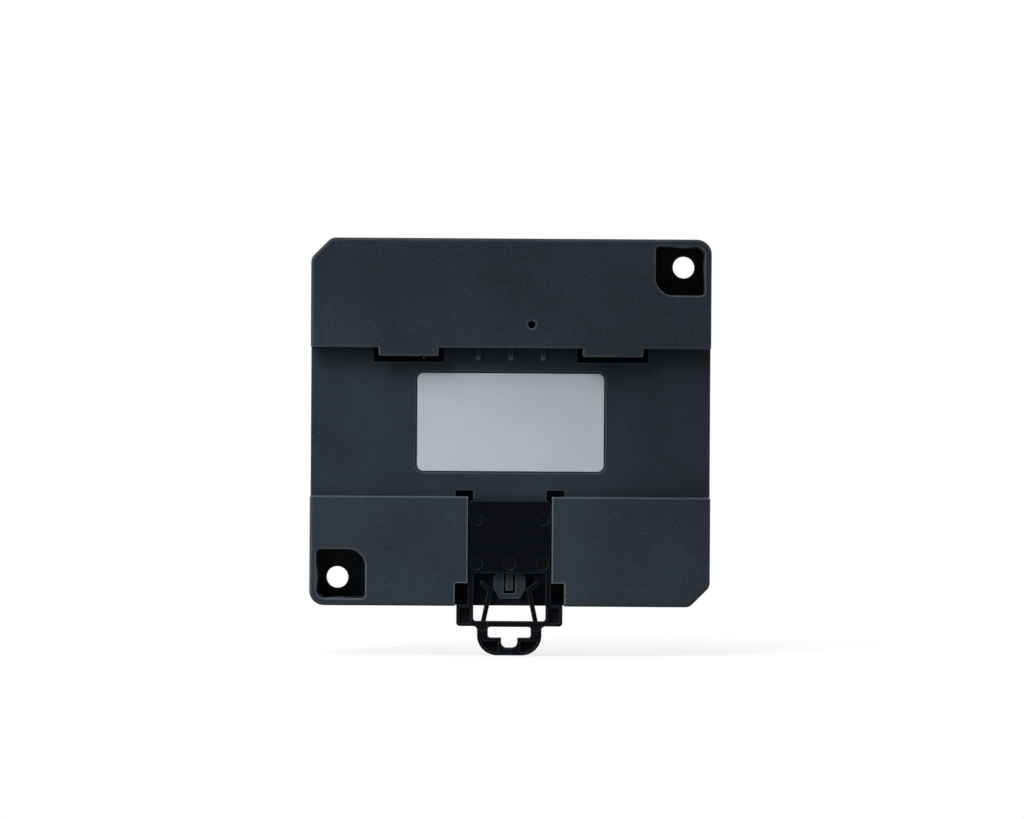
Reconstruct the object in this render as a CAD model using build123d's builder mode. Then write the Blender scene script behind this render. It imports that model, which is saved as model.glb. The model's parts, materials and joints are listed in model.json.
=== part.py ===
from build123d import *
import os
from math import atan2, degrees, hypot

# Smart energy monitor for a 35 mm rail or a wall, as separate pieces.
# Millimetres.  +Z is up as the device hangs in use, +Y points to the rail and the wall,
# -Y to the person in front.  The origin is the middle of the rail seat.

os.makedirs("parts", exist_ok=True)

# Case
body_width = 98.0
body_height = 90.0
wall = 2.0
corner_radius = 3.6
corner_chamfer = 5.0
chamfer_blend = 2.5
rear_edge_radius = 0.8
step_edge_radius = 0.3
front_edge_radius = 1.2
shell_split_depth = 12.0
shoulder_rise = 12.0
nose_rise = 7.0
overrun = 20.0
touch = 0.01
face_clearance = 0.2

# Rail seat and the bands beside it
band_rise = 5.0
channel_height = 36.4

# Rail hooks on the upper band
hook_spacing = 50.0
hook_width = 14.7
hook_reach = 2.1
hook_gap = 1.4
hook_corner_radius = 0.5
hook_slot_width = 17.5
hook_slot_height = 3.45

# Crush ribs that take up the play of the rail
crush_rib_pitch = 8.0
crush_rib_width = 1.07
crush_rib_length = 3.05
crush_rib_rise = 0.5
crush_rib_ramp = 1.0

# Ears for the wall screws, on one diagonal of the case
ear_hole_inset_x = 6.4
ear_hole_inset_z = 6.45
ear_hole_radius = 2.7
ear_pocket_size = 12.0
ear_pocket_shift = 1.3
ear_floor_thickness = 3.0
ear_pocket_draft = 0.6
ear_rim_radius = 0.25
ear_inner_radius = 4.3
ear_outer_radius = 2.0
ear_side_radius = 1.0
ear_wall = 1.6

# Pinhole over the reset switch
pinhole_x = -5.1
pinhole_above_channel = 5.7
pinhole_radius = 0.87
pinhole_rim = 0.25
pinhole_tube_radius = 2.3
pinhole_tube_gap = 0.4

# Label and its recess
label_width = 45.8
label_height = 24.0
label_radius = 1.5
label_thickness = 0.15
label_margin = 0.4
label_recess_depth = 0.25

# Bay of the rail clip in the lower band
clip_side_clearance = 0.35
clip_floor_clearance = 0.3
clip_lip_width = 3.1
clip_lip_thickness = 2.9
clip_bay_wall = 1.7
clip_slot_inset = 1.3
clip_slot_above = 1.45
clip_slot_below = 3.8
clip_notch_width = 3.1
clip_notch_margin = 0.35

# Rail clip, drawn pulled out to its lower stop
clip_width = 19.9
clip_thickness = 4.0
clip_skin = 1.7
clip_travel = 5.0
clip_top_drop = 1.0
clip_nose_margin = 0.3
clip_nose_thickness = 2.9
clip_top_radius = 0.7
clip_plate_height = 17.7
clip_flange_reach = 3.05
clip_flange_thickness = 1.5
clip_flange_height = 14.4
clip_plate_wall = 1.1
clip_rib_offset = 5.5
clip_rib_width = 1.0
clip_rail_width = 1.3
clip_rail_overhang = 0.2
clip_window_height = 11.85
clip_window_radius = 0.7
clip_crossbar_height = 1.15
clip_wing_reach = 2.85
clip_wing_height = 5.2
clip_wing_radius = 0.85
clip_wing_frame = 0.7
clip_wing_recess_depth = 0.8
clip_wing_dimple_radius = 1.25
clip_dimple_radius = 1.4
clip_dimple_depth = 0.15
clip_dimple_x = 8.1
clip_dimple_drop = 4.6
clip_dimple_rise = 2.2
clip_joint_dimple_radius = 1.2
clip_joint_dimple_x = 6.6
clip_leg_thickness = 1.2
clip_leg_foot_x = 6.5
clip_leg_knee_x = 4.75
clip_leg_height = 7.75
clip_head_thickness = 1.2
clip_head_x = 6.7
clip_head_rise = 1.6
clip_leg_set_back = 0.3
clip_loop_width = 15.8
clip_loop_height = 7.1
clip_loop_radius = 4.9
clip_loop_fillet = 0.9
clip_finger_width = 10.5
clip_finger_height = 2.75
clip_finger_radius = 0.6
clip_finger_drop = 0.15
clip_notch_slot_width = 3.95
clip_notch_slot_height = 2.45
clip_notch_slot_radius = 1.4
clip_loop_rim = 0.75
clip_loop_recess_depth = 1.4
clip_loop_bridge = 5.4
clip_gate_radius = 0.4
clip_gate_rise = 0.7

# Detent boss between the legs of the clip
detent_half_width = 3.93
detent_tip_half_width = 2.5
detent_height = 2.4
detent_flat_height = 2.5
detent_chamfer_height = 2.4
detent_top_chamfer_height = 2.8
detent_top_drop = 17.3
detent_slot_half_width = 1.37
detent_tongue_half_width = 0.9
detent_slot_margin = 1.3
detent_slot_top_margin = 0.9
detent_slot_gap = 0.7

# Front shell
nose_height = 45.0
overlay_side_margin = 6.0
overlay_end_margin = 5.0
overlay_radius = 2.0
overlay_thickness = 0.6
overlay_clearance = 0.2
vent_width = 1.6
vent_pitch = 3.2
vent_count = 5
vent_end_margin = 4.0
catch_width = 7.0
catch_thickness = 1.4
catch_root = 6.0
catch_length = 2.8
catch_barb = 0.5
catch_barb_height = 1.2
catch_side_z = 14.0
catch_corner_inset = 10.5
catch_clearance = 0.2

# Circuit board on its posts
board_thickness = 1.6
board_gap = 5.0
board_margin = 1.0
post_radius = 3.0
post_bore_radius = 1.25
post_bore_depth = 6.0
post_inset = 8.0
post_ear_gap = 1.65
board_screw_radius = 1.2
board_screw_length = 5.4
board_screw_head_radius = 2.5
board_screw_head_height = 1.7
board_screw_drive_width = 0.7
board_screw_drive_depth = 0.9
board_hole_radius = 1.6
lead_radius = 0.4
lead_hole_radius = 0.6
lead_tail = 1.6

# Mains terminal block
terminal_count = 4
terminal_pitch = 7.62
terminal_end_wall = 0.5
terminal_height = 14.0
terminal_flush_drop = 0.5
terminal_depth = 14.9
terminal_rear_step = 2.5
terminal_clearance = 0.25
terminal_base = 2.4
terminal_chamber_width = 5.9
terminal_chamber_bottom = 1.8
terminal_chamber_height = 8.7
terminal_screw_rise = 6.0
terminal_rim = 0.5
terminal_rim_radius = 1.9
terminal_head_bore_radius = 2.4
terminal_mouth_width = 3.6
terminal_mouth_height = 3.3
terminal_mouth_chamfer = 0.4
terminal_slot_margin = 0.2

# Clamp screws, cages and contact tongues of the terminal block
clamp_head_radius = 2.15
clamp_head_height = 1.8
clamp_screw_radius = 1.4
clamp_drive_width = 0.8
clamp_drive_depth = 1.0
clamp_thread_clearance = 0.1
clamp_tip_gap = 0.05
cage_width = 5.5
cage_wall = 0.8
cage_depth = 6.6
cage_height = 5.0
cage_travel = 2.5
cage_floor_gap = 0.3
tongue_half_width = 1.7
tongue_thickness = 0.8
tongue_overlap = 0.8
tongue_leg_width = 2.4
tongue_pin_width = 1.0
tongue_hole_radius = 0.8
tongue_tail = 2.2

# Jack sockets for the current transformers
socket_count = 4
socket_pitch = 13.0
socket_width = 10.0
socket_length = 12.5
socket_cover = 3.8
socket_split_gap = 0.3
socket_collar_radius = 2.9
socket_bore_radius = 1.8
socket_bore_length = 13.0
socket_hole_clearance = 0.1
socket_flush_drop = 0.3
socket_pin_x = 3.5
socket_pin_near = 3.0
socket_pin_far = 8.5

# Parts on the board
power_side_gap = 5.0
power_lamp_gap = 4.9
power_fuse_gap = 2.8
power_capacitor_gap = 2.0
power_tall = 15.0
power_edge_radius = 0.8
power_pin_inset = 3.0
fuse_spacing = 11.5
fuse_terminal_gap = 0.8
fuse_radius = 4.2
fuse_tall = 8.0
fuse_stand = 0.3
fuse_pin_x = 2.54
varistor_side_gap = 9.9
varistor_radius = 4.8
varistor_thickness = 4.2
varistor_stand = 0.8
varistor_pin_z = 2.5
capacitor_ear_gap = 1.7
capacitor_socket_gap = 0.8
capacitor_head_room = 0.9
capacitor_radius = 5.0
small_capacitor_spacing = 13.0
small_capacitor_radius = 4.0
small_capacitor_tall = 11.0
capacitor_vent_width = 0.4
capacitor_vent_depth = 0.3
capacitor_groove_depth = 0.3
capacitor_groove_height = 0.8
capacitor_groove_rise = 1.6
capacitor_pin_x = 1.25
metering_x = 2.0
metering_z = -10.0
metering_size = 10.0
metering_tall = 1.5
metering_lead_count = 8
metering_lead_pitch = 1.0
metering_lead_width = 0.4
metering_lead_reach = 0.9
metering_lead_tall = 0.6
divider_columns = 4
divider_rows = 3
divider_pitch_x = 7.62
divider_pitch_z = 2.6
divider_z = 17.0
divider_length = 3.2
divider_width = 1.6
divider_tall = 0.6
radio_side_gap = 4.0
radio_z = -1.0
radio_width = 18.0
radio_height = 25.5
radio_thickness = 0.8
shield_width = 15.8
shield_height = 17.6
shield_tall = 2.2
shield_drop = 3.0
shield_edge_radius = 0.4
antenna_screw_gap = 2.5
antenna_width = 20.0
antenna_tall = 6.0
antenna_thickness = 0.4
antenna_strip = 1.5
antenna_leg_gap = 4.0

# Lamps and light guide
lamp_count = 4
lamp_pitch = 8.0
lamp_z = 11.0
lamp_width = 1.6
lamp_height = 0.8
lamp_tall = 0.7
guide_radius = 1.1
guide_gap = 0.3
guide_hole_clearance = 0.1
guide_bar_height = 3.6
guide_bar_thickness = 1.5

# Reset switch behind the pinhole
switch_size = 4.5
switch_tall = 2.6
switch_bore_radius = 1.1
switch_bore_depth = 1.7
plunger_radius = 1.0
plunger_rise = 1.3
plunger_travel = 0.25

# Depths of the main faces, measured along Y
split_y = -shell_split_depth
shoulder_y = split_y - shoulder_rise
front_y = shoulder_y - nose_rise
seat_back_y = -wall
band_inner_y = band_rise - wall
board_rear_y = seat_back_y - board_gap
board_front_y = board_rear_y - board_thickness
ear_floor_y = split_y + ear_floor_thickness

# Places worked out from the sizes above
channel_half = channel_height / 2
pinhole_z = channel_half + pinhole_above_channel
bottom_z = -body_height / 2
top_z = body_height / 2
ear_hole_x = body_width / 2 - ear_hole_inset_x
ear_hole_z = body_height / 2 - ear_hole_inset_z
ear_half = ear_pocket_size / 2
ear_edge_x = ear_hole_x - ear_pocket_shift - ear_half
ear_edge_z = ear_hole_z - ear_pocket_shift - ear_half
ear_size_x = body_width / 2 - ear_edge_x
ear_size_z = body_height / 2 - ear_edge_z
ear_signs = [(-1, 1), (1, -1)]
ear_pocket_corners = [
    (1, 1, ear_outer_radius),
    (1, -1, ear_side_radius),
    (-1, 1, ear_side_radius),
    (-1, -1, ear_inner_radius),
]
clip_half = clip_width / 2
bay_half = clip_half + clip_side_clearance
bay_lip_half = bay_half + clip_lip_width
clip_rear_y = clip_floor_clearance + clip_thickness
clip_top_z = -channel_half - clip_top_drop
clip_flange_top_z = clip_top_z - clip_travel - clip_nose_margin
clip_window_top_z = clip_top_z - clip_plate_height
clip_window_bottom_z = clip_window_top_z - clip_window_height
clip_bar_bottom_z = clip_window_bottom_z - clip_crossbar_height
clip_rail_half = clip_half + clip_rail_overhang
clip_window_half = clip_rail_half - clip_rail_width
clip_wing_half = clip_rail_half + clip_wing_reach
clip_wing_top_z = clip_bar_bottom_z + clip_wing_height
clip_loop_bottom_z = clip_bar_bottom_z - clip_loop_height
lamp_span = (lamp_count - 1) * lamp_pitch
post_x = body_width / 2 - post_inset
post_z = body_height / 2 - post_inset
post_ear_z = ear_edge_z - ear_wall - post_ear_gap - post_radius
post_places = [(post_x, post_z), (-post_x, -post_z), (-post_x, post_ear_z), (post_x, -post_ear_z)]
catch_places = [
    (1, 0, catch_side_z),
    (1, 0, -catch_side_z),
    (-1, 0, catch_side_z),
    (-1, 0, -catch_side_z),
    (0, 1, body_width / 2 - catch_corner_inset),
    (0, -1, catch_corner_inset - body_width / 2),
]


def depth_plane(y):
    """Upright plane at depth y, whose positive side is the front."""
    return Plane.XZ.offset(-y)


def block(x_limits, y_limits, z_limits, mode=Mode.ADD):
    """Add or cut a box between two limits along each axis."""
    limits = (x_limits, y_limits, z_limits)
    middle = tuple((low + high) / 2 for low, high in limits)
    with Locations(middle):
        Box(*(high - low for low, high in limits), mode=mode)


def round_bar(x, z, radius, y_limits, mode=Mode.ADD):
    """Add or cut a cylinder that lies along Y."""
    y_low, y_high = y_limits
    with Locations((x, (y_low + y_high) / 2, z)):
        Cylinder(radius, y_high - y_low, rotation=(90, 0, 0), mode=mode)


def upright_bar(x, y, radius, z_limits, mode=Mode.ADD):
    """Add or cut a cylinder that lies along Z."""
    z_low, z_high = z_limits
    with Locations((x, y, (z_low + z_high) / 2)):
        Cylinder(radius, z_high - z_low, mode=mode)


def wall_block(side_x, side_z, along, outward_limits, width, y_limits, mode=Mode.ADD):
    """Add or cut a box beside one wall of the case.  The outward limits count from the wall's inner face."""
    low, high = outward_limits
    along_limits = (along - width / 2, along + width / 2)
    if side_x:
        face = body_width / 2 - wall
        across = sorted((side_x * (face + low), side_x * (face + high)))
        block(across, y_limits, along_limits, mode)
    else:
        face = body_height / 2 - wall
        across = sorted((side_z * (face + low), side_z * (face + high)))
        block(along_limits, y_limits, across, mode)


def strip_between(start, end, thickness):
    """Add a round-ended strip between two points to the sketch being drawn."""
    across = end[0] - start[0]
    along = end[1] - start[1]
    middle = ((start[0] + end[0]) / 2, (start[1] + end[1]) / 2)
    with Locations(middle):
        SlotCenterToCenter(hypot(across, along), thickness, rotation=degrees(atan2(along, across)))


def pins(places, radius=lead_radius):
    """Add solder leads that pass through the board."""
    for x, z in places:
        round_bar(x, z, radius, (board_front_y, board_rear_y + lead_tail))


def row_of(count, pitch):
    """Places of a centred row."""
    return [(number - (count - 1) / 2) * pitch for number in range(count)]


# Outline of the case: two rounded and two cut-off corners, each pair on one diagonal
with BuildSketch() as case_outline:
    Rectangle(body_width, body_height)
    round_corners = [corner for corner in case_outline.vertices() if corner.X * corner.Y < 0]
    fillet(round_corners, corner_radius)
    cut_corners = [corner for corner in case_outline.vertices() if corner.X * corner.Y > 0]
    far_corners = [corner for corner in cut_corners if abs(abs(corner.X) - body_width / 2) < touch
                   and abs(abs(corner.Y) - body_height / 2) < touch]
    chamfer(far_corners, corner_chamfer)
    blend_corners = [corner for corner in case_outline.vertices() if corner.X * corner.Y > 0
                     and abs(corner.X) > body_width / 2 - corner_chamfer - touch
                     and abs(corner.Y) > body_height / 2 - corner_chamfer - touch]
    fillet(blend_corners, chamfer_blend)

with BuildSketch() as cavity_outline:
    add(case_outline.sketch)
    offset(amount=-wall, kind=Kind.INTERSECTION)

with BuildSketch() as board_outline:
    add(case_outline.sketch)
    offset(amount=-wall - board_margin, kind=Kind.INTERSECTION)
    for side_x, side_z in ear_signs:
        corner_x = side_x * body_width / 2
        corner_z = side_z * body_height / 2
        with Locations((corner_x, corner_z)):
            Rectangle(
                2 * (ear_size_x + ear_wall + board_margin / 2),
                2 * (ear_size_z + ear_wall + board_margin / 2),
                mode=Mode.SUBTRACT,
            )


def ear_corners(growth):
    """Cut both ear corners, grown inward by the given wall, out of the sketch being drawn."""
    for side_x, side_z in ear_signs:
        with Locations((side_x * body_width / 2, side_z * body_height / 2)):
            RectangleRounded(
                2 * (ear_size_x + growth),
                2 * (ear_size_z + growth),
                ear_inner_radius + growth,
                mode=Mode.SUBTRACT,
            )


# Rear cover
with BuildPart() as rear_cover:
    with BuildSketch(depth_plane(band_rise)):
        add(case_outline.sketch)
    extrude(amount=band_rise + shell_split_depth)
    fillet(rear_cover.faces().sort_by(Axis.Y)[-1].edges(), rear_edge_radius)

    # Rail channel, with the two rail hooks left standing at its upper step
    hook_middles = [-hook_spacing / 2, hook_spacing / 2]
    with BuildSketch(depth_plane(band_rise)) as channel_mouth:
        Rectangle(body_width + overrun, channel_height)
        with Locations(*((middle, channel_half - hook_reach / 2) for middle in hook_middles)):
            Rectangle(hook_width, hook_reach, mode=Mode.SUBTRACT)
        hook_tips = [tip for tip in channel_mouth.vertices()
                     if abs(tip.Y - channel_half + hook_reach) < touch]
        fillet(hook_tips, hook_corner_radius)
    extrude(amount=band_rise - hook_gap, mode=Mode.SUBTRACT)
    block((-body_width, body_width), (0, hook_gap), (-channel_half, channel_half), Mode.SUBTRACT)
    step_edges = rear_cover.edges().filter_by(
        lambda edge: abs(edge.center().Y - band_rise) < touch
        and abs(edge.center().Z) < channel_half + touch
    )
    fillet(step_edges, step_edge_radius)
    for middle in hook_middles:
        block(
            (middle - hook_slot_width / 2, middle + hook_slot_width / 2),
            (seat_back_y - overrun, 0),
            (channel_half - hook_slot_height, channel_half),
            Mode.SUBTRACT,
        )

    # Crush ribs on the seat
    for middle in (-crush_rib_pitch, 0, crush_rib_pitch):
        with BuildSketch(Plane.YZ.offset(middle - crush_rib_width / 2)):
            with BuildLine():
                Polyline(
                    (0, channel_half),
                    (crush_rib_rise, channel_half),
                    (crush_rib_rise, channel_half - crush_rib_length + crush_rib_ramp),
                    (0, channel_half - crush_rib_length),
                    close=True,
                )
            make_face()
        extrude(amount=crush_rib_width)

    # Label recess
    with BuildSketch(depth_plane(0)):
        RectangleRounded(
            label_width + 2 * label_margin,
            label_height + 2 * label_margin,
            label_radius + label_margin,
        )
    extrude(amount=label_recess_depth, mode=Mode.SUBTRACT)

    # Hollow behind the seat, then the hollows of the two bands
    with BuildSketch(depth_plane(seat_back_y)):
        add(cavity_outline.sketch)
        ear_corners(ear_wall)
    extrude(amount=shell_split_depth - wall, mode=Mode.SUBTRACT)
    with BuildSketch(depth_plane(band_inner_y)):
        add(cavity_outline.sketch)
        Rectangle(body_width, channel_height + 2 * wall, mode=Mode.SUBTRACT)
        ear_corners(ear_wall)
        with Locations((0, bottom_z)):
            bay_outer_half = bay_lip_half + clip_bay_wall
            Rectangle(2 * bay_outer_half, body_height - channel_height, mode=Mode.SUBTRACT)
    extrude(amount=band_inner_y - seat_back_y, mode=Mode.SUBTRACT)

    # Ear pockets and their screw holes
    for side_x, side_z in ear_signs:
        pocket_x = side_x * (ear_hole_x - ear_pocket_shift)
        pocket_z = side_z * (ear_hole_z - ear_pocket_shift)
        with BuildSketch(depth_plane(band_rise)) as pocket:
            with Locations((pocket_x, pocket_z)):
                Rectangle(ear_pocket_size, ear_pocket_size)
            for outward_x, outward_z, radius in ear_pocket_corners:
                corner_x = pocket_x + side_x * outward_x * ear_half
                corner_z = pocket_z + side_z * outward_z * ear_half
                fillet(pocket.vertices().sort_by_distance((corner_x, corner_z))[0], radius)
        extrude(amount=band_rise - ear_floor_y, taper=ear_pocket_draft, mode=Mode.SUBTRACT)
        rim_edges = rear_cover.edges().filter_by(
            lambda edge: abs(edge.center().Y - band_rise) < touch
            and abs(edge.center().X - pocket_x) < ear_half + touch
            and abs(edge.center().Z - pocket_z) < ear_half + touch
        )
        fillet(rim_edges, ear_rim_radius)
        round_bar(
            side_x * ear_hole_x,
            side_z * ear_hole_z,
            ear_hole_radius,
            (split_y - overrun, ear_floor_y + overrun / 2),
            Mode.SUBTRACT,
        )

    # Posts for the circuit board
    for x, z in post_places:
        round_bar(x, z, post_radius, (board_rear_y, band_inner_y))
        bore_y = (board_rear_y - overrun, board_rear_y + post_bore_depth)
        round_bar(x, z, post_bore_radius, bore_y, Mode.SUBTRACT)

    # Guide tube and pinhole of the reset switch
    tube_front_y = board_rear_y + switch_tall + plunger_rise + pinhole_tube_gap
    round_bar(pinhole_x, pinhole_z, pinhole_tube_radius, (tube_front_y, band_inner_y))
    round_bar(
        pinhole_x,
        pinhole_z,
        pinhole_radius,
        (tube_front_y - overrun, band_rise + overrun),
        Mode.SUBTRACT,
    )
    pinhole_edge = rear_cover.edges().sort_by_distance((pinhole_x, band_rise, pinhole_z))[0]
    chamfer(pinhole_edge, pinhole_rim)

    # Bay of the rail clip: mouth, room under the lips, notches, and core holes in its floor
    block(
        (-bay_half, bay_half),
        (0, band_rise + overrun),
        (bottom_z - overrun, -channel_half + touch),
        Mode.SUBTRACT,
    )
    block(
        (-bay_lip_half, bay_lip_half),
        (0, band_rise - clip_lip_thickness),
        (bottom_z - overrun, -channel_half + touch),
        Mode.SUBTRACT,
    )
    for side in (-1, 1):
        notch_limits = sorted((side * bay_half, side * (bay_half + clip_notch_width)))
        block(
            notch_limits,
            (seat_back_y, band_rise + overrun),
            (bottom_z - overrun, clip_wing_top_z + clip_travel + clip_notch_margin),
            Mode.SUBTRACT,
        )
        slot_limits = sorted((side * (bay_half - clip_slot_inset), side * bay_lip_half))
        block(
            slot_limits,
            (seat_back_y - overrun, band_rise - clip_lip_thickness),
            (-channel_half - clip_slot_below, -channel_half + clip_slot_above),
            Mode.SUBTRACT,
        )

    # Detent boss and the spring tongue cut into it
    detent_top_z = -channel_half - detent_top_drop
    detent_wide_top_z = detent_top_z - detent_top_chamfer_height
    detent_wide_bottom_z = detent_wide_top_z - detent_flat_height
    detent_bottom_z = detent_wide_bottom_z - detent_chamfer_height
    with BuildSketch(depth_plane(detent_height)):
        with BuildLine():
            Polyline(
                (-detent_tip_half_width, detent_top_z),
                (detent_tip_half_width, detent_top_z),
                (detent_half_width, detent_wide_top_z),
                (detent_half_width, detent_wide_bottom_z),
                (detent_tip_half_width, detent_bottom_z),
                (-detent_tip_half_width, detent_bottom_z),
                (-detent_half_width, detent_wide_bottom_z),
                (-detent_half_width, detent_wide_top_z),
                close=True,
            )
        make_face()
    extrude(amount=detent_height)
    slot_top_z = detent_top_z - detent_slot_top_margin
    slot_bottom_z = detent_bottom_z + detent_slot_margin
    with BuildSketch(depth_plane(detent_height)) as tongue_slot:
        with Locations((0, (slot_top_z + slot_bottom_z) / 2)):
            Rectangle(2 * detent_slot_half_width, slot_top_z - slot_bottom_z)
        with Locations((0, (slot_top_z + slot_bottom_z + detent_slot_gap) / 2)):
            tongue_length = slot_top_z - slot_bottom_z - detent_slot_gap
            Rectangle(2 * detent_tongue_half_width, tongue_length, mode=Mode.SUBTRACT)
    extrude(amount=detent_height + wall + overrun, mode=Mode.SUBTRACT)

    # Blind recesses in the walls for the catches of the front shell
    for side_x, side_z, along in catch_places:
        wall_block(
            side_x,
            side_z,
            along,
            (-touch, catch_barb + catch_clearance),
            catch_width + 2 * catch_clearance,
            (split_y + catch_length - catch_barb_height - catch_clearance,
             split_y + catch_length + catch_clearance),
            Mode.SUBTRACT,
        )
rear_cover.part.label = "rear_cover"
export_step(rear_cover.part, "parts/rear_cover.step")

# Rating label, left blank
with BuildPart() as rating_label:
    with BuildSketch(depth_plane(-label_recess_depth + label_thickness)):
        RectangleRounded(label_width, label_height, label_radius)
    extrude(amount=label_thickness)
rating_label.part.label = "rating_label"
export_step(rating_label.part, "parts/rating_label.step")


# Rail clip
with BuildSketch() as loop_outline:
    with Locations((0, clip_bar_bottom_z - clip_loop_height / 2)):
        Rectangle(clip_loop_width, clip_loop_height)
    fillet(loop_outline.vertices().group_by(Axis.Y)[0], clip_loop_radius)

with BuildSketch() as clip_outline:
    with Locations((0, clip_top_z - clip_plate_height / 2)):
        Rectangle(clip_width, clip_plate_height)
    fillet(clip_outline.vertices().group_by(Axis.Y)[-1], clip_top_radius)
    with Locations((0, (clip_window_top_z + clip_bar_bottom_z) / 2)):
        Rectangle(2 * clip_rail_half, clip_window_top_z - clip_bar_bottom_z)
    with Locations((0, clip_bar_bottom_z + clip_wing_height / 2)):
        Rectangle(2 * clip_wing_half, clip_wing_height)
    wing_tips = [tip for tip in clip_outline.vertices()
                 if abs(abs(tip.X) - clip_wing_half) < touch
                 and abs(tip.Y - clip_bar_bottom_z) < touch]
    fillet(wing_tips, clip_wing_radius)
    add(loop_outline.sketch)
    loop_roots = [root for root in clip_outline.vertices()
                  if abs(abs(root.X) - clip_loop_width / 2) < touch
                  and abs(root.Y - clip_bar_bottom_z) < touch]
    fillet(loop_roots, clip_loop_fillet)
    with Locations((0, clip_window_top_z - clip_window_height / 2)):
        RectangleRounded(
            2 * clip_window_half, clip_window_height, clip_window_radius, mode=Mode.SUBTRACT
        )
    finger_top_z = clip_bar_bottom_z - clip_finger_drop
    finger_bottom_z = finger_top_z - clip_finger_height
    with Locations((0, finger_top_z - clip_finger_height / 2)):
        RectangleRounded(clip_finger_width, clip_finger_height, clip_finger_radius, mode=Mode.SUBTRACT)
    with Locations((0, finger_bottom_z)):
        RectangleRounded(
            clip_notch_slot_width,
            2 * clip_notch_slot_height,
            clip_notch_slot_radius,
            mode=Mode.SUBTRACT,
        )

# The spring legs rise from the crossbar and turn outward at the knee
foot_z = clip_window_bottom_z - clip_leg_thickness / 2
knee_z = clip_window_bottom_z + clip_leg_height
with BuildSketch() as leg_outline:
    for side in (-1, 1):
        foot = (side * clip_leg_foot_x, foot_z)
        knee = (side * clip_leg_knee_x, knee_z)
        tip = (side * clip_head_x, knee_z + clip_head_rise)
        strip_between(foot, knee, clip_leg_thickness)
        strip_between(knee, tip, clip_head_thickness)

with BuildPart() as din_slider:
    with BuildSketch(depth_plane(clip_rear_y)):
        add(clip_outline.sketch)
    extrude(amount=clip_thickness)
    with BuildSketch(depth_plane(clip_rear_y - clip_leg_set_back)):
        add(leg_outline.sketch)
    extrude(amount=clip_thickness - clip_leg_set_back)

    # Thin nose that reaches over the rail, and the hollow underside of the plate
    skin_y = clip_rear_y - clip_skin
    block(
        (-clip_width, clip_width),
        (clip_floor_clearance, clip_rear_y - clip_nose_thickness),
        (clip_flange_top_z, clip_top_z),
        Mode.SUBTRACT,
    )
    hollow_half = clip_half - clip_plate_wall
    block(
        (-hollow_half, hollow_half),
        (clip_floor_clearance, skin_y),
        (clip_window_top_z, clip_flange_top_z - clip_plate_wall),
        Mode.SUBTRACT,
    )
    for side in (-1, 1):
        rib_limits = sorted((side * clip_rib_offset, side * (clip_rib_offset + clip_rib_width)))
        block(rib_limits, (clip_floor_clearance, skin_y), (clip_window_top_z, clip_flange_top_z))
        flange_limits = sorted((side * hollow_half, side * (clip_half + clip_flange_reach)))
        block(
            flange_limits,
            (clip_floor_clearance, clip_floor_clearance + clip_flange_thickness),
            (clip_flange_top_z - clip_flange_height, clip_flange_top_z),
        )

    # Recessed wings with their ejector marks
    wing_inner = clip_rail_half - clip_rail_width + clip_wing_frame
    wing_outer = clip_wing_half - clip_wing_frame
    wing_middle_z = clip_bar_bottom_z + clip_wing_height / 2
    for side in (-1, 1):
        with BuildSketch(depth_plane(clip_rear_y)):
            with Locations((side * (wing_inner + wing_outer) / 2, wing_middle_z)):
                RectangleRounded(
                    wing_outer - wing_inner, clip_wing_height - 2 * clip_wing_frame, clip_wing_frame
                )
        extrude(amount=clip_wing_recess_depth, mode=Mode.SUBTRACT)
        round_bar(
            side * (wing_inner + wing_outer) / 2,
            wing_middle_z,
            clip_wing_dimple_radius,
            (clip_rear_y - clip_wing_recess_depth - clip_dimple_depth, clip_rear_y),
            Mode.SUBTRACT,
        )
        round_bar(
            side * clip_joint_dimple_x,
            clip_bar_bottom_z + clip_dimple_depth,
            clip_joint_dimple_radius,
            (clip_rear_y - clip_dimple_depth, clip_rear_y),
            Mode.SUBTRACT,
        )
    dimple_places = [
        (-clip_dimple_x, clip_top_z - clip_dimple_drop),
        (clip_dimple_x, clip_top_z - clip_dimple_drop),
        (-clip_dimple_x, clip_window_top_z + clip_dimple_rise),
        (0, clip_window_top_z + clip_dimple_rise),
        (clip_dimple_x, clip_window_top_z + clip_dimple_rise),
    ]
    for x, z in dimple_places:
        round_bar(x, z, clip_dimple_radius, (clip_rear_y - clip_dimple_depth, clip_rear_y), Mode.SUBTRACT)

    # Two recesses that follow the curve of the pull loop, and the gate mark below them
    with BuildSketch(depth_plane(clip_rear_y)) as loop_recess:
        add(loop_outline.sketch)
        offset(amount=-clip_loop_rim)
        with Locations((0, (clip_bar_bottom_z + finger_bottom_z - clip_loop_rim) / 2)):
            Rectangle(
                clip_loop_width,
                clip_bar_bottom_z - finger_bottom_z + clip_loop_rim,
                mode=Mode.SUBTRACT,
            )
        with Locations((0, clip_loop_bottom_z)):
            Rectangle(clip_loop_bridge, clip_loop_width, mode=Mode.SUBTRACT)
    extrude(amount=clip_loop_recess_depth, mode=Mode.SUBTRACT)
    round_bar(
        0,
        clip_loop_bottom_z + clip_gate_rise,
        clip_gate_radius,
        (clip_rear_y - clip_dimple_depth, clip_rear_y),
        Mode.SUBTRACT,
    )
din_slider.part.label = "din_slider"
export_step(din_slider.part, "parts/din_slider.step")


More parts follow.
